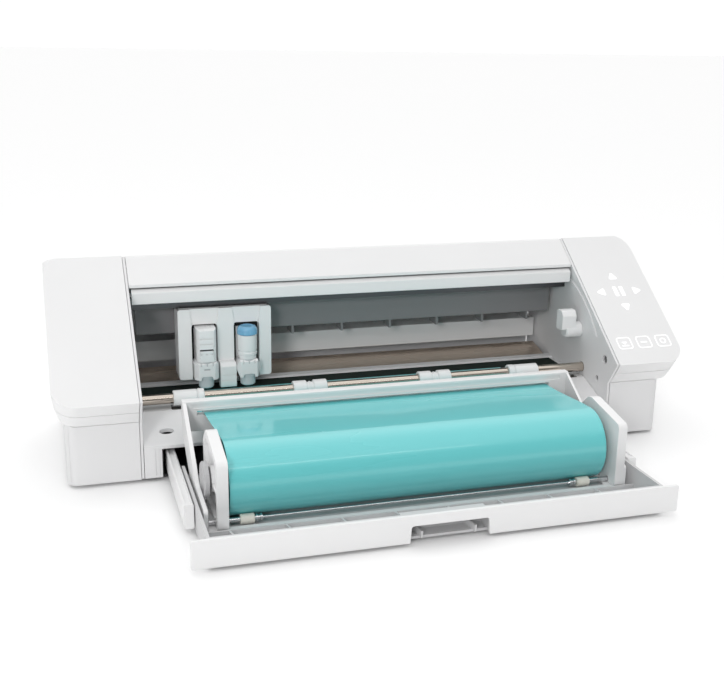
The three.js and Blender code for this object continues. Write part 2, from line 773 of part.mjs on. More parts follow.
piece('carriage_rail', carriageRail(), '#5d6066', 0.4, 0.8);
piece('carriage_belt', belt(), dark, 0.9);
piece('belt_drive_pulley', pulley(pulleyX), steel, 0.35, 0.9);
piece('belt_idler_pulley', pulley(-pulleyX), steel, 0.35, 0.9);
piece('carriage_motor', carriageMotor(), dark, 0.5, 0.4);

piece('carriage_cover', carriageCover(), white);
piece('carriage_body', carriageBody(), paleGrey);
toolAxes.forEach((x, i) => piece(`tool_holder_${i + 1}`, toolHolder(x), '#e6e8ea', 0.35));
piece('tool_1', tool(toolAxes[0], 107.6), '#d7dadd', 0.4);
piece('tool_2', tool(toolAxes[1], 98.9), '#f4f6f8', 0.4);
piece('tool_2_cap', toolCap(toolAxes[1]), '#7fb4df', 0.4);

piece('feed_shaft', feedShaft(), '#6d6a66', 0.5, 0.8);
piece('feed_gear', feedGear(), paleGrey);
piece('motor_pinion', motorPinion(), '#b99a5b', 0.4, 0.9);
piece('feed_motor', feedMotor(), dark, 0.5, 0.4);
piece('pinch_shaft', pinchShaft(), '#8d7b6c', 0.3, 0.9);
piece('left_pinch_roller', pinchRoller(-183, -156), white, 0.5);
piece('left_roller_pair', rollerPair(-76, -63.6, -57, -45), white, 0.5);
piece('right_roller_pair', rollerPair(43.5, 55.8, 62.7, 74.6), white, 0.5);
piece('right_pinch_roller', pinchRoller(134, 164), white, 0.5);
piece('release_lever', releaseLever(), white);

piece('lid', lid(), white);

piece('drawer_front', drawerFront(), white);
piece('drawer_tray', drawerTray(), paleGrey);
piece('left_slide_rail', slideRail(-195.2, -187.8), paleGrey);
piece('right_slide_rail', slideRail(174.9, 182.5), paleGrey);

piece('feeder_frame', feederFrame(), white);
piece('left_feeder_arm', feederArm(-172.7, -164.2), white);
piece('right_feeder_arm', feederArm(154.5, 162.4), white);
piece('front_support_shaft', supportShaft(rollY - supportReach), '#e8e0cc', 0.5);
piece('rear_support_shaft', supportShaft(rollY + supportReach), '#e8e0cc', 0.5);
piece('vinyl_roll', vinylRoll(), teal, 0.2);
piece('roll_core', rollCore(), '#b8946a', 0.9);
piece('roll_spindle', rollSpindle(), paleGrey);
piece('vinyl_sheet_feeder', feederSheet(), teal, 0.2);
piece('vinyl_sheet_platen', platenSheet(), teal, 0.2);

piece('main_board', mainBoard(), '#2f6b45', 0.6);
piece('touch_board', touchBoard(), '#2f6b45', 0.6);
piece('power_inlet', powerInlet(), dark);
piece('usb_port', usbPort(), steel, 0.4, 0.8);

export default machine;
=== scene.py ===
# The looks of a desktop vinyl cutter with its roll feeder drawer pulled out.
#
# Shapes are drawn in millimetres in the machine's own frame: y = 0 is the front edge of the two end
# covers, x = 0 the middle of the width, z = 0 the surface it stands on. to_row() moves them into the
# row's frame, in metres.

import math

import bmesh
import bpy
from mathutils import Matrix, Vector


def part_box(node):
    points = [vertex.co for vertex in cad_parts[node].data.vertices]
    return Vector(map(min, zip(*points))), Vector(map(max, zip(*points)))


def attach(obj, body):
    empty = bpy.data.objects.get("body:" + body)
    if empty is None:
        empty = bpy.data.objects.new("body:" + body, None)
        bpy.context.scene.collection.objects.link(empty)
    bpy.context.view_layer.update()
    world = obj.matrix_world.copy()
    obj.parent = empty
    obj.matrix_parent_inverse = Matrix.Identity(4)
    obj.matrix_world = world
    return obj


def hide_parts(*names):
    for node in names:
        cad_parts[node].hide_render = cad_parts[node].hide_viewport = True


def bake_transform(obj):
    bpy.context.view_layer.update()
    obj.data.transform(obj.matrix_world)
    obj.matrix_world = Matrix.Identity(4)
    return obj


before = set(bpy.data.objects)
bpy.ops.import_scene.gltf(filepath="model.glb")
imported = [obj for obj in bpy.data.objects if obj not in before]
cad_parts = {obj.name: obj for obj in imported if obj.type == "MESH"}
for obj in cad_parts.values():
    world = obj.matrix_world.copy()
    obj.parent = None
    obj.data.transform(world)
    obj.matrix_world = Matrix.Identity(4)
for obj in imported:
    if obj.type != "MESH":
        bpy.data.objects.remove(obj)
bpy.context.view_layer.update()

MM = 0.001
FRONT_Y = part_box("left_end_cover")[0].y       # the machine frame's y = 0, in the row frame
FULL_TURN = 2 * math.pi


def node_span(node):
    """A CAD node's lowest and highest corners in the machine frame, in millimetres."""
    low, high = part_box(node)
    shift = Vector((0, FRONT_Y, 0))
    return (low - shift) / MM, (high - shift) / MM


# ------------------------------------------------------------------ driving dimensions

HALF = node_span("right_end_cover")[1].x
BACK_Y = node_span("right_end_cover")[1].y
LIP_Z = 75.2
CREST_Y, CREST_Z, BACK_TOP_Z = 130.0, 170.0, 150.0
SLOPE = (CREST_Z - LIP_Z) / CREST_Y
SLOPE_ANGLE = math.atan(SLOPE)
SLAB_DROP = 32.2
WALL_RIGHT_X = node_span("right_side_wall")[0].x
COVER_LEFT_X = node_span("left_end_cover")[1].x
COVER_RIGHT_X = node_span("right_end_cover")[0].x
BASE_FRONT_Y, BASE_BOTTOM_Z = 15.1, 3.0
FEED_Y = 67.0
PINCH_LOW, PINCH_HIGH = node_span("left_pinch_roller")
PINCH_Z = (PINCH_LOW.z + PINCH_HIGH.z) / 2
PINCH_RADIUS = (PINCH_HIGH.z - PINCH_LOW.z) / 2
ROLL_LOW, ROLL_HIGH = node_span("vinyl_roll")
ROLL_Y = (ROLL_LOW.y + ROLL_HIGH.y) / 2
ROLL_Z = (ROLL_LOW.z + ROLL_HIGH.z) / 2
ROLL_RADIUS = (ROLL_HIGH.z - ROLL_LOW.z) / 2
DRAWER_LOW, DRAWER_HIGH = node_span("drawer_front")


def slope_z(y):
    return LIP_Z + SLOPE * y


# ------------------------------------------------------------------ materials

def new_material(name):
    material = bpy.data.materials.new(name)
    material.use_nodes = True
    nodes = material.node_tree.nodes
    shader = nodes["Principled BSDF"]
    return material, nodes, material.node_tree.links, shader


def noise(nodes, links, scale, detail=4.0, stretch=None):
    place = nodes.new("ShaderNodeTexCoord")
    texture = nodes.new("ShaderNodeTexNoise")
    texture.inputs["Scale"].default_value = scale
    texture.inputs["Detail"].default_value = detail
    if stretch:
        mapping = nodes.new("ShaderNodeMapping")
        mapping.inputs["Scale"].default_value = stretch
        links.new(place.outputs["Object"], mapping.inputs["Vector"])
        links.new(mapping.outputs["Vector"], texture.inputs["Vector"])
    else:
        links.new(place.outputs["Object"], texture.inputs["Vector"])
    return texture


def spread(nodes, links, texture, low, high):
    """The texture's value carried from its usual 0.3..0.7 to low..high."""
    ramp = nodes.new("ShaderNodeMapRange")
    ramp.inputs["From Min"].default_value = 0.3
    ramp.inputs["From Max"].default_value = 0.7
    ramp.inputs["To Min"].default_value = low
    ramp.inputs["To Max"].default_value = high
    links.new(texture.outputs["Fac"], ramp.inputs["Value"])
    return ramp.outputs["Result"]


def tint(nodes, links, texture, dark, light):
    mix = nodes.new("ShaderNodeMix")
    mix.data_type = "RGBA"
    mix.inputs[6].default_value = (*dark, 1)
    mix.inputs[7].default_value = (*light, 1)
    links.new(spread(nodes, links, texture, 0, 1), mix.inputs["Factor"])
    return mix.outputs[2]


def bump(nodes, links, shader, texture, distance, strength):
    node = nodes.new("ShaderNodeBump")
    node.inputs["Strength"].default_value = strength
    node.inputs["Distance"].default_value = distance
    links.new(texture.outputs["Fac"], node.inputs["Height"])
    links.new(node.outputs["Normal"], shader.inputs["Normal"])


def moulded(name, color, roughness=0.5, grain=2600.0, depth=0.00002, coat=0.0, glow=0.0, specular=0.5):
    """Moulded plastic: a fine spark-eroded grain, with slow changes of tone and gloss."""
    material, nodes, links, shader = new_material(name)
    tone = noise(nodes, links, 9.0)
    dark = tuple(channel * 0.975 for channel in color)
    links.new(tint(nodes, links, tone, dark, color), shader.inputs["Base Color"])
    gloss = noise(nodes, links, 34.0)
    links.new(spread(nodes, links, gloss, roughness - 0.05, roughness + 0.05), shader.inputs["Roughness"])
    shader.inputs["Coat Weight"].default_value = coat
    shader.inputs["Coat Roughness"].default_value = 0.12
    # A glow above zero is painted light: emission that makes the surface shine with no lamp.
    shader.inputs["Emission Color"].default_value = (1, 1, 1, 1)
    shader.inputs["Emission Strength"].default_value = glow
    shader.inputs["Specular IOR Level"].default_value = specular
    bump(nodes, links, shader, noise(nodes, links, grain, 2.0), depth, 0.35)
    return material


def metal(name, color, roughness=0.3, stretch=(0.02, 1, 1), scale=900.0):
    """Turned or drawn metal: fine lines along the stretch, and a slow change of gloss."""
    material, nodes, links, shader = new_material(name)
    shader.inputs["Metallic"].default_value = 1.0
    lines = noise(nodes, links, scale, 3.0, stretch)
    dark = tuple(channel * 0.86 for channel in color)
    links.new(tint(nodes, links, lines, dark, color), shader.inputs["Base Color"])
    links.new(spread(nodes, links, lines, roughness - 0.06, roughness + 0.08), shader.inputs["Roughness"])
    bump(nodes, links, shader, lines, 0.00002, 0.25)
    return material


def glossy_vinyl(name):
    """Self-adhesive film under a clear gloss skin, with the faint waviness of a wound film."""
    material, nodes, links, shader = new_material(name)
    tone = noise(nodes, links, 5.0, 2.0, (0.25, 1, 1))
    links.new(tint(nodes, links, tone, (0.135, 0.580, 0.595), (0.150, 0.620, 0.635)),
              shader.inputs["Base Color"])
    gloss = noise(nodes, links, 26.0, 3.0, (0.12, 1, 1))
    links.new(spread(nodes, links, gloss, 0.24, 0.33), shader.inputs["Roughness"])
    shader.inputs["Coat Weight"].default_value = 0.6
    shader.inputs["Coat Roughness"].default_value = 0.08
    bump(nodes, links, shader, noise(nodes, links, 16.0, 2.0, (0.10, 1, 1)), 0.0004, 0.12)
    return material


def cardboard(name):
    material, nodes, links, shader = new_material(name)
    fibres = noise(nodes, links, 420.0, 6.0, (0.3, 1, 1))
    links.new(tint(nodes, links, fibres, (0.30, 0.20, 0.115), (0.44, 0.31, 0.19)),
              shader.inputs["Base Color"])
    shader.inputs["Roughness"].default_value = 0.9
    bump(nodes, links, shader, fibres, 0.0001, 0.5)
    return material


def rubber(name):
    material, nodes, links, shader = new_material(name)
    grain = noise(nodes, links, 1400.0)
    links.new(tint(nodes, links, grain, (0.016, 0.016, 0.018), (0.032, 0.032, 0.035)),
              shader.inputs["Base Color"])
    shader.inputs["Roughness"].default_value = 0.82
    bump(nodes, links, shader, grain, 0.00005, 0.6)
    return material


def circuit_board(name):
    """Green solder mask with the paler squares of copper under it."""
    material, nodes, links, shader = new_material(name)
    place = nodes.new("ShaderNodeTexCoord")
    cells = nodes.new("ShaderNodeTexVoronoi")
    cells.distance = "MANHATTAN"
    cells.inputs["Scale"].default_value = 160.0
    links.new(place.outputs["Object"], cells.inputs["Vector"])
    mix = nodes.new("ShaderNodeMix")
    mix.data_type = "RGBA"
    mix.inputs[6].default_value = (0.010, 0.085, 0.035, 1)
    mix.inputs[7].default_value = (0.030, 0.190, 0.080, 1)
    links.new(cells.outputs["Distance"], mix.inputs["Factor"])
    links.new(mix.outputs[2], shader.inputs["Base Color"])
    shader.inputs["Roughness"].default_value = 0.35
    return material


WHITE = moulded("cover_white_plastic", (0.84, 0.84, 0.842), 0.46)
BASE = moulded("base_white_plastic", (0.78, 0.78, 0.785), 0.50)
INTERIOR = moulded("interior_grey_plastic", (0.25, 0.25, 0.255), 0.55)
PANEL = moulded("panel_grey_plastic", (0.84, 0.84, 0.845), 0.5)
TRAY = moulded("tray_grey_plastic", (0.62, 0.62, 0.625), 0.5)
# Near-black for the pan and deck inside the base: painted shade behind the drawer.
PAINTED_SHADE_PAN = moulded("pan_painted_shade_black", (0.045, 0.045, 0.048), 0.6)
FEEDER = moulded("feeder_white_plastic", (0.85, 0.85, 0.852), 0.40)
CARRIAGE = moulded("carriage_white_plastic", (0.90, 0.90, 0.90), 0.34)
# Near-black plates behind the carriage windows and inside the tool slit: painted shade.
PAINTED_SHADE_BLACK = moulded("painted_shadow_black", (0.02, 0.02, 0.022), 0.6)
# White ink with a faint emission: the glow is painted light, not a lamp.
ICON_PAINTED_GLOW = moulded("icon_ink_painted_glow", (0.95, 0.95, 0.95), 0.3, 900.0, 0.00001, glow=0.25)
HUB = moulded("hub_grey_plastic", (0.48, 0.48, 0.49), 0.3)
CREAM = moulded("support_cream_plastic", (0.78, 0.755, 0.68), 0.3)
# The cutting strip is painted the near-black green of vinyl in deep shade, with its specular turned down:
# painted shade.
PAINTED_SHADE_STRIP = moulded("cutting_strip_painted_shade", (0.012, 0.022, 0.018), 0.6, specular=0.08)
TOOL_WHITE = moulded("tool_white_plastic", (0.90, 0.90, 0.905), 0.25, coat=0.4)
TOOL_GREY = moulded("tool_grey_plastic", (0.66, 0.67, 0.69), 0.3)
CAP_BLUE = moulded("cap_blue_plastic", (0.20, 0.48, 0.72), 0.22, coat=0.5)
BRONZE = metal("platen_bronze_sheet", (0.70, 0.59, 0.50), 0.30, (0.03, 1, 1))
SHAFT = metal("shaft_bronze_steel", (0.62, 0.55, 0.48), 0.16, (0.05, 1, 1))
GRIT = metal("grit_blasted_steel", (0.22, 0.21, 0.20), 0.55, (1, 1, 1), 2400.0)
STEEL = metal("bright_steel", (0.75, 0.75, 0.76), 0.22)
RAIL = metal("dark_anodised_rail", (0.10, 0.105, 0.11), 0.35)
BRASS = metal("turned_brass", (0.80, 0.62, 0.32), 0.25)
MOTOR = moulded("motor_black_lacquer", (0.03, 0.03, 0.032), 0.4)
VINYL = glossy_vinyl("teal_vinyl")
CARD = cardboard("core_cardboard")
RUBBER = rubber("foot_rubber")
BOARD = circuit_board("board_green")


# ------------------------------------------------------------------ geometry helpers

def to_row(point):
    return Vector((point[0] * MM, point[1] * MM + FRONT_Y, point[2] * MM))


def mesh_piece(name, points, faces):
    mesh = bpy.data.meshes.new(name)
    mesh.from_pydata([to_row(p) for p in points], [], faces)
    mesh.validate()
    solid = bmesh.new()
    solid.from_mesh(mesh)
    bmesh.ops.recalc_face_normals(solid, faces=solid.faces)
    solid.to_mesh(mesh)
    solid.free()
    piece = bpy.data.objects.new(name, mesh)
    bpy.context.scene.collection.objects.link(piece)
    return piece


def rounded(corners, steps=6):
    """Outline of (a, b) or (a, b, radius) corners, with each radius drawn as an arc."""
    points = []
    count = len(corners)
    for i, corner in enumerate(corners):
        here = Vector(corner[:2])
        radius = corner[2] if len(corner) > 2 else 0
        if not radius:
            points.append(tuple(here))
            continue
        before = (Vector(corners[i - 1][:2]) - here).normalized()
        after = (Vector(corners[(i + 1) % count][:2]) - here).normalized()
        bend = before.angle(after) / 2
        reach = radius / math.tan(bend)
        centre = here + (before + after).normalized() * (radius / math.sin(bend))
        start, end = here + before * reach - centre, here + after * reach - centre
        turn = start.angle_signed(end)
        for k in range(steps + 1):
            angle = -turn * k / steps
            c, s = math.cos(angle), math.sin(angle)
            points.append((centre.x + start.x * c - start.y * s, centre.y + start.x * s + start.y * c))
    return points


def prism(name, axis, outline, low, high):
    """Solid with its outline across axis: (y, z) for X, (x, z) for Y, (x, y) for Z."""
    place = {
        "X": lambda a, b, c: (c, a, b),
        "Y": lambda a, b, c: (a, c, b),
        "Z": lambda a, b, c: (a, b, c),
    }[axis]
    count = len(outline)
    points = [place(a, b, c) for c in (low, high) for a, b in outline]
    faces = [list(range(count)), list(range(count, 2 * count))]
    faces += [[i, (i + 1) % count, count + (i + 1) % count, count + i] for i in range(count)]
    return mesh_piece(name, points, faces)


def block(name, x0, x1, y0, y1, z0, z1):
    return prism(name, "Z", [(x0, y0), (x1, y0), (x1, y1), (x0, y1)], z0, z1)


def rect(a0, a1, b0, b1, radius=0.0, steps=6):
    return rounded([(a0, b0, radius), (a1, b0, radius), (a1, b1, radius), (a0, b1, radius)], steps)


def circle(a, b, radius, steps=48):
    return [(a + radius * math.cos(FULL_TURN * i / steps), b + radius * math.sin(FULL_TURN * i / steps))
            for i in range(steps)]


def turned(name, axis, profile, a, b, steps=64):
    """Turned solid: profile of (along, radius) corners, about the line at (a, b) across axis."""
    place = {
        "X": lambda along, u, v: (along, a + u, b + v),
        "Y": lambda along, u, v: (a + u, along, b + v),
        "Z": lambda along, u, v: (a + u, b + v, along),
    }[axis]
    points, rings = [], []
    for along, radius in profile:
        if radius < 1e-6:
            rings.append([len(points)] * steps)
            points.append(place(along, 0, 0))
            continue
        rings.append(list(range(len(points), len(points) + steps)))
        for i in range(steps):
            angle = FULL_TURN * i / steps
            points.append(place(along, radius * math.cos(angle), radius * math.sin(angle)))
    closed = profile[0][1] > 1e-6
    pairs = list(zip(rings, rings[1:])) + ([(rings[-1], rings[0])] if closed else [])
    faces = []
    for first, second in pairs:
        for i in range(steps):
            k = (i + 1) % steps
            corners = list(dict.fromkeys([first[i], first[k], second[k], second[i]]))
            if len(corners) > 2:
                faces.append(corners)
    return mesh_piece(name, points, faces)


def applied(piece):
    """Turns the piece's modifiers into its mesh."""
    graph = bpy.context.evaluated_depsgraph_get()
    mesh = bpy.data.meshes.new_from_object(piece.evaluated_get(graph), depsgraph=graph)
    piece.modifiers.clear()
    piece.data = mesh
    return piece


def boolean(piece, tools, operation):
    for tool in tools:
        step = piece.modifiers.new("cut", "BOOLEAN")
        step.operation = operation
        step.solver = "EXACT"
        step.object = tool
        applied(piece)
        bpy.data.objects.remove(tool)
    return piece


def cut(piece, *tools):
    return boolean(piece, tools, "DIFFERENCE")


def common(piece, *tools):
    return boolean(piece, tools, "INTERSECT")


def join(piece, *others):
    return boolean(piece, others, "UNION")


def soften(piece, width, segments=3, angle=30.0):
    """Rounds the piece's sharp edges by a width in millimetres and smooths its shading."""
    clean = bmesh.new()
    clean.from_mesh(piece.data)
    bmesh.ops.remove_doubles(clean, verts=clean.verts, dist=0.00001)
    bmesh.ops.dissolve_limit(clean, angle_limit=math.radians(0.4), verts=clean.verts, edges=clean.edges)
    clean.to_mesh(piece.data)
    clean.free()
    edge = piece.modifiers.new("edge", "BEVEL")
    edge.width = width * MM
    edge.segments = segments
    edge.limit_method = "ANGLE"
    edge.angle_limit = math.radians(angle)
    edge.use_clamp_overlap = True
    applied(piece)
    return smooth(piece)


def smooth(piece, angle=35.0):
    piece.data.polygons.foreach_set("use_smooth", [True] * len(piece.data.polygons))
    piece.data.set_sharp_from_angle(angle=math.radians(angle))
    normals = piece.modifiers.new("normals", "WEIGHTED_NORMAL")
    normals.keep_sharp = True
    return applied(piece)


def place(piece, material, body, slot, *nodes):
    """Gives a piece its material and the body it rides on, and hides the CAD nodes it stands for; the slot
    argument is not used.
    """
    piece.data.materials.clear()
    piece.data.materials.append(material)
    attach(piece, body)
    if nodes:
        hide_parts(*nodes)
    return piece


def finer(node, width, material, body, slot, segments=3):
    """A copy of a CAD node with its edges rounded."""
    piece = bpy.data.objects.new(node + "_shell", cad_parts[node].data.copy())
    bpy.context.scene.collection.objects.link(piece)
    soften(piece, width, segments)
    return place(piece, material, body, slot, node)


# ------------------------------------------------------------------ end covers

CORNER_FRONT, CORNER_CREST = 20.0, 13.0


def slope_prism(name, outline, low, high):
    """Solid with its outline (x, v) in the sloped plane, v up the slope, low to high along its normal."""
    piece = prism(name, "Z", outline, low, high)
    tilt = Matrix.Rotation(SLOPE_ANGLE, 4, "X")
    lift = Matrix.Translation((0, FRONT_Y, LIP_Z * MM))
    back = Matrix.Translation((0, -FRONT_Y, 0))
    piece.data.transform(lift @ tilt @ back)
    return piece


def end_cover_blank(name, side, inset):
    """The end cover's outer form, moved inwards by inset."""
    inner = COVER_LEFT_X if side < 0 else COVER_RIGHT_X
    outer = side * (HALF - inset)
    inner_past = inner - side * inset
    drop = SLAB_DROP - inset * 1.25
    sink = inset * 1.25
    profile = [
        (inset * 0.9, slope_z(inset * 0.9) - sink), (15.3 + inset * 0.4, slope_z(15.3 + inset * 0.4) - drop),
        (120, slope_z(120) - drop), (BACK_Y - inset, 124 + inset), (BACK_Y - inset, BACK_TOP_Z - inset),
        (CREST_Y, CREST_Z - sink),
    ]
    blank = prism(name, "X", profile, *sorted((inner_past, outer)))
    front, crest = CORNER_FRONT - inset, CORNER_CREST - inset
    slope_shape = rounded([(inner_past, inset), (outer, inset, front), (outer, 400), (inner_past, 400)], 14)
    plan = rounded([(inner_past, -60), (outer, -60), (outer, BACK_Y - inset, 12),
                    (inner_past, BACK_Y - inset)], 10)
    face = rounded([(inner_past, 0), (outer, 0), (outer, CREST_Z - inset, crest),
                    (inner_past, CREST_Z - inset)], 10)
    return cut(common(
        blank,
        slope_prism(name + "_a", slope_shape, -120, 60),
        prism(name + "_b", "Z", plan, 0, CREST_Z + 5),
        prism(name + "_c", "Y", face, -20, BACK_Y + 10)), *side_taper(name, side, inset))


def side_taper(name, side, depth):
    """What is cut from an end cover so that its outer side draws in towards the base below."""
    middle, low = (1.8, 7) if side < 0 else (3.7, 12.5)
    section = [(0.5 - depth, -1), (-middle - depth, -16.5), (-low - depth, -SLAB_DROP - 0.6),
               (-low - depth, -60), (20, -60), (20, -1)]
    outline = [(side * (HALF + out), z) for out, z in section]
    rear_rise = (124 - slope_z(120) + SLAB_DROP) / (BACK_Y - 120)
    wedges = []
    for low_y, high_y, rise, start_y, start_z in (
            (-20, 120, SLOPE, 0, LIP_Z), (120, BACK_Y + 20, rear_rise, 120, slope_z(120))):
        wedge = prism(name + "_taper", "Y", outline, low_y, high_y)
        for vertex in wedge.data.vertices:
            vertex.co.z += (start_z + rise * ((vertex.co.y - FRONT_Y) / MM - start_y)) * MM
        wedges.append(wedge)
    return wedges


def end_cover(side):
    name = "left_end_cover_shell" if side < 0 else "right_end_cover_shell"
    inner = COVER_LEFT_X if side < 0 else COVER_RIGHT_X
    cover = end_cover_blank(name, side, 0.0)
    room = end_cover_blank(name + "_room", side, 3.0)
    core = end_cover_blank(name + "_core", side, 0.9)
    reach = sorted((inner - side * 4, side * (HALF + 4)))
    middle = SLAB_DROP * 0.52
    seam_profile = [(-6, slope_z(-6) - middle), (-6, slope_z(-6) - middle + 0.9),
                    (124, slope_z(124) - middle + 0.9), (200, 137.9), (200, 137),
                    (124, slope_z(124) - middle)]
    seam = cut(prism(name + "_seam", "X", seam_profile, *reach), core)
    rail_reach = sorted((inner - side * 6, side * 242))
    rail_room = block(name + "_rail", *rail_reach, 112, 132.5, 120, 139)
    cut(cover, seam, room, rail_room)
    soften(cover, 1.1, 3, 28)
    return place(cover, WHITE, "chassis", "cover_white", name.replace("_shell", ""))


def base_cover(side):
    name = "left_base_cover" if side < 0 else "right_base_cover"
    low, high = node_span(name)
    inner = high.x if side < 0 else low.x
    outer = low.x if side < 0 else high.x
    under = lambda y: slope_z(y) - SLAB_DROP - 0.5
    profile = [(BASE_FRONT_Y, BASE_BOTTOM_Z), (high.y, BASE_BOTTOM_Z), (high.y, 123.5), (120, under(120)),
               (BASE_FRONT_Y, under(BASE_FRONT_Y))]
    x0, x1 = sorted((inner, outer))
    shell = prism(name + "_shell", "X", profile, x0, x1)
    plan = rounded([(inner, BASE_FRONT_Y), (outer, BASE_FRONT_Y, 9), (outer, high.y, 9), (inner, high.y)], 10)
    common(shell, prism("plan", "Z", plan, 0, 150))
    room = [(BASE_FRONT_Y + 2.6, 5.6), (high.y - 2.6, 5.6), (high.y - 2.6, 120), (120, under(120) - 3.2),
            (BASE_FRONT_Y + 2.6, under(BASE_FRONT_Y) - 1.5)]
    reach = sorted((inner - side * 3, outer - side * 2.6))
    cut(shell, prism("room", "X", room, *reach))
    rail_reach = sorted((inner - side * 3, side * 242))
    cut(shell, block("rail", *rail_reach, 112, 132.5, 115, 139))
    if side > 0:
        cut(shell, block("inlet", 232, 248, high.y - 7, high.y + 2, 22, 34),
            block("usb", 233, 247, high.y - 7, high.y + 2, 41.5, 54.5))
    for i in range(7):
        y = 70 + i * 12
        slot = prism("vent", "X", rounded([(y - 2, 16, 1.8), (y + 2, 16, 1.8), (y + 2, 40, 1.8),
                                           (y - 2, 40, 1.8)], 4),
                     *sorted((outer - side * 5, outer + side * 2)))
        cut(shell, slot)
    soften(shell, 1.6, 4, 28)
    return place(shell, BASE, "chassis", "base_white", name)


def foot_pads():
    for name in ("foot_front_left", "foot_front_right", "foot_rear_left", "foot_rear_right"):
        low, high = node_span(name)
        x, y, radius = (low.x + high.x) / 2, (low.y + high.y) / 2, (high.x - low.x) / 2
        profile = [(0, 0), (0, radius - 1.6), (0.4, radius - 0.5), (1.1, radius), (high.z, radius),
                   (high.z, 0)]
        pad = smooth(turned(name + "_pad", "Z", profile, x, y, 48))
        place(pad, RUBBER, "chassis", "rubber_dark", name)


# ------------------------------------------------------------------ touch keys on the right end cover

KEY_X = 249.6
KEY_V = {"up": 107.0, "middle": 88.0, "down": 68.6, "row": 25.0}
KEY_STEP = 18.8
INK = 0.12


def ink(name, outline, hole=None):
    piece = slope_prism(name, outline, 0.01, INK)
    if hole:
        cut(piece, slope_prism(name + "_hole", hole, -1, 1))
    smooth(piece)
    return place(piece, ICON_PAINTED_GLOW, "chassis", "cover_white")


def arrow(name, x, v, turn):
    """A rounded triangle that points along turn (radians from +X)."""
    corners = []
    for angle, reach in ((0, 5.8), (FULL_TURN * 0.345, 6.2), (-FULL_TURN * 0.345, 6.2)):
        corners.append((x + reach * math.cos(turn + angle), v + reach * math.sin(turn + angle), 1.3))
    return ink(name, rounded(corners, 6))


def touch_keys():
    middle = KEY_V["middle"]
    arrow("key_up", KEY_X, KEY_V["up"], math.pi / 2)
    arrow("key_down", KEY_X, KEY_V["down"], -math.pi / 2)
    arrow("key_left", KEY_X - KEY_STEP, middle, math.pi)
    arrow("key_right", KEY_X + KEY_STEP, middle, 0)
    for i, x in enumerate((KEY_X - 3.4, KEY_X + 3.4)):
        ink(f"key_pause_{i}", rect(x - 1.9, x + 1.9, middle - 6.0, middle + 6.0, 0.8))
    row = KEY_V["row"]
    for i, x in enumerate((KEY_X - 19.6, KEY_X + 0.6, KEY_X + 20.8)):
        ink(f"key_square_{i}", rect(x - 7.4, x + 7.4, row - 6.9, row + 6.9, 3.0),
            rect(x - 6.4, x + 6.4, row - 5.9, row + 5.9, 2.2))
    x = KEY_X - 19.6
    ink("key_load_bar", rect(x - 3.6, x + 3.6, row - 3.6, row - 2.4, 0.4))
    arrow_points = [(x - 3.0, row + 1.6, 0.4), (x + 3.0, row + 1.6, 0.4), (x, row - 1.6, 0.4)]
    ink("key_load_arrow", rounded(arrow_points, 4))
    x = KEY_X + 0.6
    ink("key_turn_bar", rect(x - 3.4, x + 3.4, row - 0.7, row + 0.7, 0.5))
    x = KEY_X + 20.8
    ink("key_link_ring", circle(x, row, 3.2, 32), circle(x, row, 2.0, 32))


# ------------------------------------------------------------------ roof, lid, walls and back

def top_cover():
    low, high = node_span("top_cover")
    front = low.y
    profile = [(front, slope_z(front)), (front, slope_z(front) - 3.0), (CREST_Y + 0.4, CREST_Z - 3.2),
               (BACK_Y, BACK_TOP_Z - 2.8), (BACK_Y, BACK_TOP_Z), (CREST_Y + 2.4, CREST_Z - 0.7),
               (CREST_Y - 1.6, CREST_Z - 1.1)]
    cover = prism("top_cover_shell", "X", profile, low.x, high.x)
    soften(cover, 0.7, 3, 25)
    return place(cover, WHITE, "chassis", "cover_white", "top_cover")


def lid():
    low, high = node_span("lid")
    x0, x1 = -212.0, 211.0
    outline = rounded([(99.0, 132.0, 0.8), (101.4, 132.0, 0.8), (101.6, 141.4, 1.0), (104, 142.4),
                       (190, 142.4),
                       (190, 145, 1.0), (103.2, 145, 1.6), (99.2, 142.2, 1.4)], 5)
    panel = prism("lid_panel", "X", outline, x0, x1)
    for y in (110.0, 178.0):
        for a, b in ((x0, x0 + 3), (x1 - 3, x1)):
            join(panel, block("lug", a, b, y - 3, y + 3, 137, 143))
        for a, b in ((low.x, x0 + 2), (x1 - 2, high.x)):
            join(panel, prism("pin", "X", circle(y, 139, 1.9, 20), a, b))
    soften(panel, 0.35, 2, 30)
    return place(panel, WHITE, "lid", "cover_white", "lid")


def walls():
    for side in ("left", "right"):
        finer(f"{side}_side_wall", 0.45, BASE, "chassis", "base_white", 2)


def back_panels():
    low, high = node_span("upper_back_panel")
    panel = prism("upper_back_panel_shell", "X", rounded(
        [(134.6, 94.8, 0.8), (137, 94.8), (137, 141), (134.6, 141)], 4), low.x, high.x)
    for i in range(-3, 5):
        x = -11.5 + 48.8 * i
        join(panel, block("rib", x - 1.1, x + 1.1, 134.8, 151.8, 87.1, 95.8))
    soften(panel, 0.4, 2, 30)
    place(panel, INTERIOR, "chassis", "interior_grey", "upper_back_panel")
    low, high = node_span("lower_back_panel")
    profile = [(165, 60.2), (167.3, 60.2), (167.3, 78), (189.8, 78), (189.8, 80), (165, 80)]
    lower = prism("lower_back_panel_shell", "X", profile, low.x, high.x)
    soften(lower, 0.5, 3, 30)
    place(lower, PANEL, "chassis", "interior_grey", "lower_back_panel")


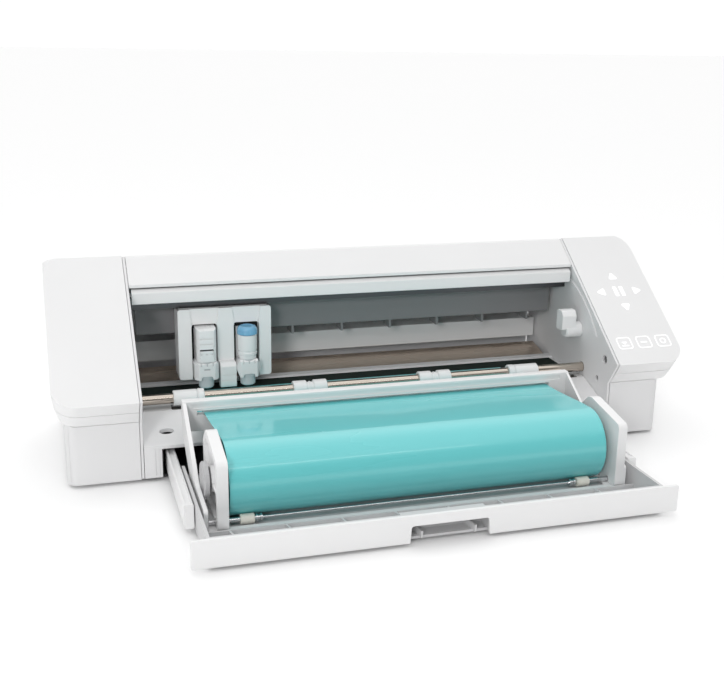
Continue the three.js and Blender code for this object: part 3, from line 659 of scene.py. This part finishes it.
def rear_cover():
    low, high = node_span("rear_cover")
    panel = block("rear_cover_shell", low.x, high.x, low.y, high.y, low.z, high.z)
    slot = prism("slot", "Y", rect(-204, 204, 53.6, 64, 3), low.y - 2, high.y + 2)
    cut(panel, slot)
    for i in range(9):
        x = -72 + i * 18
        cut(panel, prism("vent", "Y", rect(x - 6, x + 6, 98, 102, 2), low.y - 2, high.y + 2))
    for x in (-206, 206):
        for z in (20, 136):
            cut(panel, prism("screw_well", "Y", circle(x, z, 3.4, 24), high.y - 1.2, high.y + 2))
    soften(panel, 0.5, 3, 30)
    place(panel, BASE, "chassis", "base_white", "rear_cover")
    for i, (x, z) in enumerate(((-206, 20), (206, 20), (-206, 136), (206, 136))):
        head = turned(f"rear_screw_{i}", "Y", [(high.y - 1.3, 0), (high.y - 1.3, 2.9), (high.y - 0.6, 2.9),
                                              (high.y - 0.3, 2.3), (high.y - 0.3, 0)], x, z, 24)
        cut(head, block("cross_a", x - 1.6, x + 1.6, high.y - 0.9, high.y, z - 0.35, z + 0.35),
            block("cross_b", x - 0.35, x + 0.35, high.y - 0.9, high.y, z - 1.6, z + 1.6))
        place(smooth(head), STEEL, "chassis", "port_metal")


def front_platen():
    low, high = node_span("front_platen")
    top = 46.3
    profile = rounded([(BASE_FRONT_Y, 31.4, 0.9), (BASE_FRONT_Y, 28.6), (18, 28.6), (60.5, top - 2.6),
                       (138, top - 2.6), (138, 47.9, 0.5), (128.4, 47.9, 0.5), (128.4, top),
                       (60, top, 3.0)], 4)
    deck = prism("front_platen_shell", "X", profile, low.x, high.x)
    join(deck, block("left_skirt", low.x, -199.2, BASE_FRONT_Y, BASE_FRONT_Y + 2.5, 3.4, 30),
         block("right_skirt", 187.3, high.x, BASE_FRONT_Y, BASE_FRONT_Y + 2.5, 3.4, 30))
    for a, b in ((-184, -155), (-78, -43), (42, 77), (92, 205)):
        cut(deck, prism("window", "Z", rect(a - 1, b + 1, 60.2, 73.8, 1.5, 4), 40, 52))
    cut(deck, block("groove", low.x + 4, high.x - 4, 95.6, 128.0, top - 1.1, top + 1))
    for a in (-204.8, -201.4):
        cut(deck, block("skirt_line", a, a + 0.9, BASE_FRONT_Y - 1, BASE_FRONT_Y + 0.7, 6, 28.4))
    eyelet = prism("eyelet", "Z", [(-193 + 6.2 * math.cos(t), 33 + 3.6 * math.sin(t))
                                   for t in (FULL_TURN * i / 32 for i in range(32))], 20, 60)
    cut(deck, eyelet)
    soften(deck, 0.5, 3, 28)
    place(deck, BASE, "chassis", "base_white", "front_platen")


def plain_inner_nodes():
    """Carried-over CAD nodes that are mostly hidden: each gets its own material; the cutting strip, bottom
    pan and middle deck are coloured as painted shade.
    """
    looks = {
        "cutting_strip": PAINTED_SHADE_STRIP, "rear_platen": BRONZE, "bottom_pan": PAINTED_SHADE_PAN, "middle_deck": PAINTED_SHADE_PAN,
        "carriage_rail": RAIL, "carriage_belt": RUBBER, "belt_drive_pulley": STEEL,
        "belt_idler_pulley": STEEL,
        "carriage_motor": MOTOR, "feed_gear": CREAM, "motor_pinion": BRASS, "feed_motor": MOTOR,
        "main_board": BOARD, "touch_board": BOARD, "carriage_body": CARRIAGE,
    }
    for node, material in looks.items():
        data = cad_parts[node].data
        data.materials.clear()
        data.materials.append(material)


def ports():
    finer("power_inlet", 0.5, MOTOR, "chassis", "motor_dark")
    finer("usb_port", 0.3, STEEL, "chassis", "port_metal")


# ------------------------------------------------------------------ shafts and rollers

def shafts():
    low, high = node_span("pinch_shaft")
    radius = (high.z - low.z) / 2
    profile = [(low.x, 0), (low.x, radius - 0.6), (low.x + 0.6, radius), (high.x - 0.6, radius),
               (high.x, radius - 0.6), (high.x, 0)]
    shaft = smooth(turned("pinch_shaft_bar", "X", profile, FEED_Y, PINCH_Z, 48))
    place(shaft, SHAFT, "pinch", "shaft_bronze", "pinch_shaft")
    low, high = node_span("feed_shaft")
    z = (low.z + high.z) / 2
    profile = [(low.x, 0), (low.x, 3)]
    for a, b in ((-184, -155), (-78, -43), (42, 77), (92, 205)):
        profile += [(a, 3), (a, 5.6), (a + 0.4, 6), (b - 0.4, 6), (b, 5.6), (b, 3)]
    profile += [(high.x, 3), (high.x, 0)]
    feed = smooth(turned("feed_shaft_bar", "X", profile, FEED_Y, z, 48))
    place(feed, GRIT, "feed", "grit_steel", "feed_shaft")


def roller(name, bands, body, node):
    """White pinch roller: bands of (x0, x1, radius) on one bore."""
    bore = 4.9
    profile = [(bands[0][0], bore)]
    for x0, x1, radius in bands:
        edge = 0.5 if radius > 6.2 else 0.1
        profile += [(x0, radius - edge), (x0 + edge, radius), (x1 - edge, radius), (x1, radius - edge)]
    profile.append((bands[-1][1], bore))
    piece = smooth(turned(name, "X", profile, FEED_Y, PINCH_Z, 64))
    return place(piece, FEEDER, body, "roller_white", node)


def rollers():
    r = PINCH_RADIUS
    low, high = node_span("left_pinch_roller")
    left = [(low.x, high.x - 6.4, r - 0.3), (high.x - 6.4, high.x - 5.8, r - 1.1), (high.x - 5.8, high.x, r)]
    roller("left_pinch_roller_body", left, "pinch", "left_pinch_roller")
    low, high = node_span("right_pinch_roller")
    right = [(low.x, low.x + 5.8, r), (low.x + 5.8, low.x + 6.4, r - 1.1), (low.x + 6.4, high.x, r - 0.3)]
    roller("right_pinch_roller_body", right, "right_roller", "right_pinch_roller")
    for side in ("left", "right"):
        low, high = node_span(f"{side}_roller_pair")
        bands = [(low.x, low.x + 12.2, r), (low.x + 12.2, low.x + 15, 5.4), (low.x + 15, low.x + 16.4, 6.1),
                 (low.x + 16.4, low.x + 18.8, 5.4), (low.x + 18.8, high.x, r)]
        roller(f"{side}_roller_pair_body", bands, "pinch", f"{side}_roller_pair")


def release_lever():
    y, z = 77.0, 90.0
    low, high = node_span("release_lever")
    face = WALL_RIGHT_X - 0.4
    profile = [(196, 0), (196, 6.1), (197.2, 7.3), (209, 7.5), (face, 7.5), (face, 3), (high.x, 3),
               (high.x, 0)]
    hub = turned("release_lever_body", "X", profile, y, z, 40)
    grip = prism("grip", "X", rounded([(y - 6.4, z + 1, 2), (y + 6.4, z + 1, 2), (y + 6.4, z + 20, 3),
                                       (y - 3.0, z + 20, 3), (y - 6.4, z + 15, 3)], 5), 191, 205.6)
    join(hub, grip)
    soften(hub, 0.9, 3, 35)
    place(hub, FEEDER, "lever", "feeder_white", "release_lever")


# ------------------------------------------------------------------ tool carriage

TOOL_X = (-148.5, -110.2)
TOOL_Y = 102.5
WINDOWS = ((-160.2, -136.8), (-121.8, -98.4))


def carriage_cover():
    low, high = node_span("carriage_cover")
    x0, x1, z0, z1 = low.x, high.x, 57.8, high.z
    plate = prism("carriage_cover_shell", "Y", rect(x0, x1, z0, z1, 2.4, 5), 106, 109)
    for a, b in ((x0, x0 + 2.2), (x1 - 2.2, x1)):
        join(plate, block("cheek", a, b, 108, 130.6, 59.5, 121.5))
    join(plate, prism("roof", "X", [(108, 119.6), (113.6, 119.6), (113.6, 121.5), (108, 121.5)], x0, x1))
    nose = prism("nose", "X", rounded([(107, 50.9, 0.5), (97.4, 50.9, 1.2), (96.2, 54), (96.2, 70.8, 2),
                                       (99.4, 74, 2),
                                      (107, 74)], 5), -136, -121.6)
    join(plate, nose)
    for z in (57.5, 62.5):
        cut(plate, block("nose_line", -137, -120.6, 95.6, 96.8, z, z + 0.7))
    for a, b in WINDOWS:
        cut(plate, prism("window", "Y", rounded([(a, 40), (b, 40), (b, 108.8, 2.6), (a, 108.8, 2.6)], 5),
                         100, 112))
        scoop = prism("scoop", "Y", rounded([(a + 0.6, 106, 2.6), (b - 0.6, 106, 2.6), (b + 1.6, 126),
                                             (a - 1.6, 126)], 4),
                      104, 107.8)
        cut(plate, scoop)
    soften(plate, 0.45, 3, 28)
    place(plate, CARRIAGE, "carriage", "feeder_white", "carriage_cover")
    # Near-black plates behind the windows: painted shade in the gaps around the tools.
    for i, (a, b) in enumerate(WINDOWS):
        back = prism(f"window_painted_shade_{i}", "Y", rect(a + 0.2, b - 0.2, 62, 108.4, 1.5), 114.5, 114.9)
        place(smooth(back), PAINTED_SHADE_BLACK, "carriage", "feeder_white")


def tool_holder(index):
    """The clamp that grips a tool, with the slide behind it that presses the tool down."""
    x = TOOL_X[index]
    body = f"tool_slide_{('one', 'two')[index]}"
    node = f"tool_holder_{index + 1}"
    plan = rounded([(x - 11, 113.6), (x - 11, 97.5, 3), (x - 7.4, 93.5, 2), (x + 7.4, 93.5, 2),
                    (x + 11, 97.5, 3),
                    (x + 11, 113.6)], 6)
    front_face = (
        [(x - 11, 60), (x - 11, 74, 1), (x - 8.6, 76.4, 1), (x + 8.6, 76.4, 1), (x + 11, 74, 1),
         (x + 11, 60)],
        [(x - 8.2, 60), (x - 11, 67.5, 2), (x - 11, 70.5, 2), (x - 8.0, 76.4), (x + 8.0, 76.4),
         (x + 11, 70.5, 2),
         (x + 11, 67.5, 2), (x + 8.2, 60)])[index]
    holder = common(prism(f"{node}_body", "Z", plan, 60, 76.4), prism("face", "Y", rounded(front_face, 4),
                                                                      80, 120))
    join(holder, block("slide", x - 9, x + 9, 111.8, 114.2, 60, 104))
    cut(holder, prism("bore", "Z", circle(x, TOOL_Y, 8.3, 48), 55, 90))
    arch = rounded([(x - 6, 55), (x - 5, 63.2, 2), (x + 5, 63.2, 2), (x + 6, 55)], 5)
    cut(holder, prism("arch", "Y", arch, 90, 100))
    cut(holder, prism("brow", "X", [(90, 79), (90, 72.2), (96.4, 77)], x - 12, x + 12))
    if index == 0:
        cut(holder, prism("latch_slot", "Y", rect(x - 3.2, x + 3.2, 69.0, 70.6, 0.7), 90, 94.6))
    for k in (-1, 0, 1):
        cut(holder, block("tick", x + k * 5.2 - 0.5, x + k * 5.2 + 0.5, 92, 95.4, 73.0, 76.5))
    soften(holder, 0.5, 3, 28)
    place(holder, TOOL_WHITE, body, "tool_clear", node)


NOZZLE = [(50.6, 0), (50.6, 3.2), (51.2, 5.6), (52.4, 6.9), (59.6, 7.2), (60.0, 7.9), (77, 7.9)]


def tool_tip(name, x, body):
    """The blade's point, just proud of the nozzle."""
    tip = turned(name, "Z", [(50.15, 0), (50.15, 0.2), (51.4, 1.0), (51.4, 0)], x, TOOL_Y, 24)
    place(smooth(tip), STEEL, body, "tool_grey")


def tool_nozzle(name, x, body):
    piece = smooth(turned(name, "Z", NOZZLE + [(77, 0)], x, TOOL_Y, 64), 40)
    place(piece, TOOL_GREY, body, "tool_grey")


def tool_one():
    """Automatic blade: a squarish white housing with grip ridges and a slit lined with painted shade."""
    x, top = TOOL_X[0], node_span("tool_1")[1].z
    plan = rounded([(x - 8.9, 111), (x - 8.9, 96.4, 3), (x - 6.6, 93.7, 2), (x + 6.6, 93.7, 2),
                    (x + 8.9, 96.4, 3),
                    (x + 8.9, 111)], 6)
    body = prism("tool_1_body", "Z", plan, 76.8, top)
    cut(body, prism("top_slant", "X", [(90, top + 1), (90, top - 4.2), (97.5, top + 1)], x - 12, x + 12))
    cut(body, block("slit", x - 6.2, x + 6.2, 90, 95.6, 87.2, 88.7))
    for z in (93.2, 98.2):
        cut(body, block("ridge", x - 6.6, x + 6.6, 90, 94.9, z, z + 1.0))
    for k in (-1, 0, 1):
        cut(body, block("mark", x + k * 5.0 - 0.8, x + k * 5.0 + 0.8, 90, 94.9, 83.6, 84.8))
    soften(body, 0.4, 3, 28)
    place(body, TOOL_WHITE, "tool_slide_one", "tool_grey", "tool_1")
    # A near-black plate inside the slit: painted shade.
    slit_painted_shade = block("tool_1_slit", x - 5.9, x + 5.9, 95.1, 95.5, 87.3, 88.6)
    place(smooth(slit_painted_shade), PAINTED_SHADE_BLACK, "tool_slide_one", "tool_grey")
    tool_nozzle("tool_1_nozzle", x, "tool_slide_one")
    tool_tip("tool_1_tip", x, "tool_slide_one")


def tool_two():
    """Ratchet blade: a round white body with a blue dial on top."""
    x = TOOL_X[1]
    body = [(76.8, 0), (76.8, 8.0), (80, 8.2), (80.4, 8.7), (82.4, 8.7), (82.8, 8.3), (84.2, 8.3),
            (84.6, 8.7),
            (98.6, 8.7), (98.8, 8.5), (98.8, 0)]
    piece = smooth(turned("tool_2_body", "Z", body, x, TOOL_Y, 64), 40)
    place(piece, TOOL_WHITE, "tool_slide_two", "tool_grey", "tool_2")
    dial = [(99.2, 0), (99.2, 8.8), (99.6, 9.1), (103.4, 9.1), (105.2, 8.6), (106.4, 7.4), (106.8, 5.8),
            (106.3, 5.4),
            (105.9, 4.8), (105.9, 0)]
    piece = turned("tool_2_cap_body", "Z", dial, x, TOOL_Y, 72)
    for i in range(24):
        angle = FULL_TURN * i / 24
        cx, cy = x + 9.4 * math.cos(angle), TOOL_Y + 9.4 * math.sin(angle)
        cut(piece, prism("flute", "Z", circle(cx, cy, 0.55, 10), 99.0, 103.2))
    smooth(piece, 30)
    place(piece, CAP_BLUE, "tool_slide_two", "cap_blue", "tool_2_cap")
    tool_nozzle("tool_2_nozzle", x, "tool_slide_two")
    tool_tip("tool_2_tip", x, "tool_slide_two")


# ------------------------------------------------------------------ drawer

NOTCH = (-39.0, 25.0, 16.5)
TRAY_X = (-187.0, 172.5)
TRAY_BACK = -15.0


def drawer_front():
    x0, x1, z0, z1 = DRAWER_LOW.x, DRAWER_HIGH.x, DRAWER_LOW.z, DRAWER_HIGH.z
    y0, y1 = DRAWER_LOW.y, DRAWER_HIGH.y
    face = prism("drawer_front_shell", "Y", rect(x0, x1, z0, z1, 1.4), y0, y1)
    n0, n1, nz = NOTCH
    cut(face, prism("notch", "Y", rounded([(n0, -5), (n1, -5), (n1 - 1.5, nz, 2), (n0 + 1.5, nz, 2)], 5),
                    y0 - 1, y1 + 1))
    soften(face, 0.6, 3, 30)
    place(face, WHITE, "drawer", "cover_white", "drawer_front")


def drawer_tray():
    x0, x1 = TRAY_X
    z0, z1 = 3.0, 24.3
    tray = block("drawer_tray_shell", x0, x1, -150.1, TRAY_BACK, z0, z1)
    cut(tray, block("room", x0 + 2.4, x1 - 2.4, -147.8, TRAY_BACK + 1, z0 + 2, z1 + 2))
    n0, n1, nz = NOTCH
    cut(tray, prism("notch", "Y", rect(n0, n1, -5, nz, 1.5), -152, -146))
    hood = block("hood", n0 - 2, n1 + 2, -149, -132, 3.6, nz + 2)
    cut(hood, block("hood_room", n0, n1, -150, -134, 0, nz))
    join(tray, hood)
    for i in range(8):
        x = x0 + 30 + i * (x1 - x0 - 60) / 7
        lean = -9
        rib = prism("rib", "Z", [(x, -148.5), (x + 1.6, -148.5), (x + 1.6 + lean, -109), (x + lean, -109)],
                    4, 9.5)
        join(tray, rib)
    join(tray, block("cross_rib", x0 + 1, x1 - 1, -111, -109.4, 4, 9.5))
    soften(tray, 0.4, 2, 30)
    place(tray, TRAY, "drawer", "feeder_white", "drawer_tray")


def slide_rails():
    for side in ("left", "right"):
        node = f"{side}_slide_rail"
        low, high = node_span(node)
        rail = prism(f"{node}_bar", "Y", rect(low.x, high.x, low.z, high.z, 1.4), low.y, high.y)
        cut(rail, block("groove", low.x + 1.6, high.x - 1.6, low.y + 4, high.y - 4, high.z - 1.2, high.z + 1))
        soften(rail, 0.4, 2, 30)
        place(rail, FEEDER, f"{side}_rail", "feeder_white", node)


# ------------------------------------------------------------------ roll feeder

FRAME_X = (-182.6, 165.0)


def feeder_frame():
    x0, x1 = FRAME_X
    side = rounded([(12, 46), (12, 72, 1.5), (5.6, 72, 2.5), (-50, 38, 10), (-62, 27, 14), (-106, 24.4, 3),
                    (-106, 5.8),
                    (-34, 5.8), (-30, 20, 8)], 5)
    piece = prism("feeder_frame_shell", "X", side, x0, x0 + 3.2)
    join(piece, prism("right_plate", "X", side, x1 - 2.2, x1))
    bar = prism("bar", "X", rounded([(4, 46), (12, 46), (12, 72, 1), (4, 72, 1)], 4), x0, x1)
    join(piece, bar)
    join(piece, block("floor", x0, x1, -106, -34, 5.8, 7.2))
    cut(piece, prism("window", "Z", rect(ROLL_LOW.x - 2, ROLL_HIGH.x + 2, -100.5, -44.3, 4), 4, 9))
    cut(piece, block("sheet_slot", -171, 146, -6, 14, 59.4, 63.4))
    cut(piece, prism("recess", "Y", rect(x0 + 8, x1 - 8, 65.4, 69.4, 1.2), 2, 5.0))
    soften(piece, 0.45, 3, 28)
    place(piece, FEEDER, "feeder", "feeder_white", "feeder_frame")


def feeder_arm(side):
    node = f"{side}_feeder_arm"
    low, high = node_span(node)
    outline = rounded([(-107, 7.6, 2), (-40, 7.6, 2), (-40, 56, 5), (-54, 68.6, 6), (-60, 69.4, 4),
                       (-107, 61, 5)], 7)
    arm = prism(f"{node}_shell", "X", outline, low.x, high.x)
    pocket = rounded([(-101, 12, 3), (-46, 12, 3), (-46, 53, 4), (-57, 63.4, 4), (-101, 56, 4)], 6)
    depth = 3.2
    reach = (low.x - 1, low.x + depth) if side == "left" else (high.x - depth, high.x + 1)
    room = prism("pocket", "X", pocket, *reach)
    cut(room, prism("boss", "X", circle(ROLL_Y, ROLL_Z, 10, 48), reach[0] - 1, reach[1] + 1))
    cut(room, block("web", reach[0] - 1, reach[1] + 1, -106, -40, ROLL_Z - 0.9, ROLL_Z + 0.9))
    cut(arm, room)
    cut(arm, prism("bore", "X", circle(ROLL_Y, ROLL_Z, 6.8, 40), low.x - 2, high.x + 2))
    support = node_span("front_support_shaft")
    support_z = (support[0].z + support[1].z) / 2
    for y in (ROLL_Y - 22, ROLL_Y + 22):
        cut(arm, prism("bore", "X", circle(y, support_z, 2.6, 24), low.x - 2, high.x + 2))
    soften(arm, 0.6, 3, 28)
    place(arm, FEEDER, "feeder", "feeder_white", node)


def support_shaft(which):
    """Thin steel shaft with a cream roller and a grooved collar near each end."""
    node = f"{which}_support_shaft"
    body = f"{which}_support"
    low, high = node_span(node)
    y, z = (low.y + high.y) / 2, (low.z + high.z) / 2
    profile = [(low.x, 0), (low.x, 1.6), (low.x + 0.4, 2), (-138, 2), (-138, 1.2), (120.5, 1.2), (120.5, 2),
               (high.x - 0.4, 2), (high.x, 1.6), (high.x, 0)]
    bar = smooth(turned(f"{node}_bar", "X", profile, y, z, 32))
    place(bar, STEEL, body, "support_cream", node)
    for i, (a, b) in enumerate(((-154, -143), (126, 137))):
        wheel = [(a, 1.9), (a, 3.5), (a + 0.5, 4), (b - 0.5, 4), (b, 3.5), (b, 1.9)]
        piece = smooth(turned(f"{which}_support_wheel_{i}", "X", wheel, y, z, 48))
        place(piece, CREAM, body, "support_cream")
    for i, a in enumerate((-142.0, 119.5)):
        collar = [(a, 1.0), (a, 3), (a + 1.6, 3), (a + 1.9, 2.4), (a + 3.1, 2.4), (a + 3.4, 3), (a + 5, 3),
                  (a + 5, 1.0)]
        piece = smooth(turned(f"{which}_support_collar_{i}", "X", collar, y, z, 32))
        place(piece, STEEL, body, "port_metal")


def vinyl_roll():
    x0, x1 = ROLL_LOW.x, ROLL_HIGH.x
    steps = 128
    profile = [(x0, 19.4), (x0, ROLL_RADIUS - 0.5), (x0 + 0.5, ROLL_RADIUS), (x1 - 0.5, ROLL_RADIUS),
               (x1, ROLL_RADIUS - 0.5)]
    windings = 9
    for i in range(windings):
        radius = ROLL_RADIUS - 1.0 - i * (ROLL_RADIUS - 20.4) / windings
        profile += [(x1, radius), (x1 - 0.35, radius - 0.18), (x1, radius - 0.36)]
    profile += [(x1, 19.4)]
    roll = smooth(turned("vinyl_roll_body", "X", profile, ROLL_Y, ROLL_Z, steps), 40)
    place(roll, VINYL, "roll", "vinyl_teal", "vinyl_roll")
    core_low, core_high = node_span("roll_core")
    ring = [(core_low.x, 16.6), (core_low.x, 19), (core_high.x, 19), (core_high.x, 16.6)]
    core = smooth(turned("roll_core_tube", "X", ring, ROLL_Y, ROLL_Z, 64))
    place(core, CARD, "roll", "core_card", "roll_core")
    low, high = node_span("roll_spindle")
    hub = [(low.x + 1.6, 0), (low.x + 1.2, 4), (low.x + 1.4, 10), (low.x, 12.4), (low.x, 13), (low.x + 1, 14),
           (low.x + 4.2, 14), (low.x + 4.2, 6), (-163, 6), (-163, 16.2), (-154, 16.2), (-154, 4), (140, 4),
           (140, 16.2), (149, 16.2), (149, 6), (high.x - 0.6, 6), (high.x, 5.4), (high.x, 0)]
    spindle = smooth(turned("roll_spindle_body", "X", hub, ROLL_Y, ROLL_Z, 64))
    place(spindle, HUB, "roll", "feeder_white", "roll_spindle")


def vinyl_sheet():
    """The film from the front of the roll over its top, through the frame's slot and over the platen."""
    thick = 0.35
    wrap_start, wrap_end = math.radians(205), math.radians(90)
    wrap_steps = 30
    line = []
    for i in range(wrap_steps):
        share = i / (wrap_steps - 1)
        angle = wrap_start + (wrap_end - wrap_start) * share
        radius = ROLL_RADIUS - 0.1 + 0.6 * min(1.0, 2.0 * share)
        line.append((ROLL_Y + radius * math.cos(angle), ROLL_Z + radius * math.sin(angle)))
    line += [(-60, 65.1), (-44, 63.9), (-30, 62.9), (-16, 62.0), (-4, 61.6), (4, 61.5), (12, 61.0),
             (20, 57.0),
             (32, 50.9), (44, 47.9), (56, 47.1), (70, 47.1), (84, 47.1), (105.8, 47.1)]
    roll_edges, slot_edges = (-162.4, 146.5), (-165.0, 144.0)
    columns = 40
    points, faces = [], []
    for layer in (0.0, -thick):
        for y, z in line:
            along = min(1.0, max(0.0, (y - ROLL_Y) / (4 - ROLL_Y)))
            x0, x1 = (a + (b - a) * along for a, b in zip(roll_edges, slot_edges))
            for k in range(columns + 1):
                share = k / columns
                loose = max(0.0, 1 - abs((y + 30) / 34)) if -64 < y < 4 else 0.0
                wave = 0.55 * loose * math.sin(share * 9.0) * math.sin(share * math.pi)
                points.append((x0 + (x1 - x0) * share, y, z + layer + wave))
    row = columns + 1
    size = row * len(line)
    for i in range(len(line) - 1):
        for k in range(columns):
            a = i * row + k
            faces.append([a, a + 1, a + row + 1, a + row])
            faces.append([size + a, size + a + row, size + a + row + 1, size + a + 1])
    for i in range(len(line) - 1):
        for k in (0, columns):
            a = i * row + k
            faces.append([a, a + row, size + a + row, size + a])
    for k in range(columns):
        for i in (0, len(line) - 1):
            a = i * row + k
            faces.append([a, a + 1, size + a + 1, size + a])
    sheet = mesh_piece("vinyl_sheet", points, faces)
    smooth(sheet, 50)
    sheet.data.materials.append(VINYL)
    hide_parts("vinyl_sheet_feeder", "vinyl_sheet_platen")
    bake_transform(sheet)


# ------------------------------------------------------------------ stage, light and camera

CEILING, FRONT_ROOM, BACK_WALL = 0.95, 0.24, 1.06

def stage():
    mesh = bpy.data.meshes.new("floor")
    mesh.from_pydata([(-40, -40, 0), (40, -40, 0), (40, 40, 0), (-40, 40, 0)], [], [(0, 1, 2, 3)])
    floor = bpy.data.objects.new("floor", mesh)
    bpy.context.scene.collection.objects.link(floor)
    material, _, _, shader = new_material("pale_floor")
    shader.inputs["Base Color"].default_value = (0.98, 0.98, 0.98, 1)
    shader.inputs["Roughness"].default_value = 0.9
    mesh.materials.append(material)


def area_light(name, energy, size, location, target, size_y=None):
    data = bpy.data.lights.new(name, "AREA")
    data.energy = energy
    data.shape = "RECTANGLE"
    data.size = size
    data.size_y = size_y or size
    lamp = bpy.data.objects.new(name, data)
    bpy.context.scene.collection.objects.link(lamp)
    lamp.location = location
    lamp.rotation_mode = "QUATERNION"
    lamp.rotation_quaternion = (Vector(target) - Vector(location)).to_track_quat("-Z", "Y")
    return lamp


def light():
    """Soft light from a wide ceiling panel, with a bright wall behind and a dim room in front."""
    world = bpy.data.worlds.new("studio")
    bpy.context.scene.world = world
    world.use_nodes = True
    nodes, links = world.node_tree.nodes, world.node_tree.links
    direction = nodes.new("ShaderNodeTexCoord")
    axes = nodes.new("ShaderNodeSeparateXYZ")
    links.new(direction.outputs["Generated"], axes.inputs["Vector"])
    ceiling = nodes.new("ShaderNodeMapRange")
    ceiling.interpolation_type = "SMOOTHSTEP"
    ceiling.inputs["From Min"].default_value = 0.45
    ceiling.inputs["From Max"].default_value = 0.85
    ceiling.inputs["To Max"].default_value = CEILING
    links.new(axes.outputs["Z"], ceiling.inputs["Value"])
    wall = nodes.new("ShaderNodeMapRange")
    wall.inputs["From Min"].default_value = 0.0
    wall.inputs["From Max"].default_value = 0.8
    wall.inputs["To Min"].default_value = FRONT_ROOM
    wall.inputs["To Max"].default_value = BACK_WALL
    links.new(axes.outputs["Y"], wall.inputs["Value"])
    total = nodes.new("ShaderNodeMath")
    links.new(ceiling.outputs["Result"], total.inputs[0])
    links.new(wall.outputs["Result"], total.inputs[1])
    background = nodes["Background"]
    background.inputs["Color"].default_value = (1, 1, 1, 1)
    links.new(total.outputs["Value"], background.inputs["Strength"])
    area_light("key", 16.0, 0.5, (-1.3, -2.1, 0.95), (0, 0, 0.05))
    area_light("strip", 0.9, 1.1, (0.0, -1.0, 0.95), (0, -0.1, 0.05), 0.07)


def camera():
    """The viewpoint: location and aim in the machine frame, in millimetres, and a small roll."""
    data = bpy.data.cameras.new("camera")
    data.sensor_width = 36
    data.lens = 52.55
    cam = bpy.data.objects.new("camera", data)
    bpy.context.scene.collection.objects.link(cam)
    location = to_row((-278.55, -816.43, 355.85))
    forward = Vector((0.27790, 0.91889, -0.28001)).normalized()
    cam.rotation_mode = "QUATERNION"
    roll = Matrix.Rotation(math.radians(0.9), 4, "Z").to_quaternion()
    cam.rotation_quaternion = forward.to_track_quat("-Z", "Y") @ roll
    cam.location = location
    data.clip_start, data.clip_end = 0.01, 100
    bpy.context.scene.camera = cam
    bpy.context.scene.view_settings.view_transform = "Standard"


# ------------------------------------------------------------------ the scene

camera()
for end in (-1, 1):
    end_cover(end)
    base_cover(end)
foot_pads()
touch_keys()
top_cover()
lid()
walls()
back_panels()
rear_cover()
front_platen()
plain_inner_nodes()
ports()
shafts()
rollers()
release_lever()
carriage_cover()
tool_holder(0)
tool_holder(1)
tool_one()
tool_two()
drawer_front()
drawer_tray()
slide_rails()
feeder_frame()
feeder_arm("left")
feeder_arm("right")
support_shaft("front")
support_shaft("rear")
vinyl_roll()
vinyl_sheet()
stage()
light()
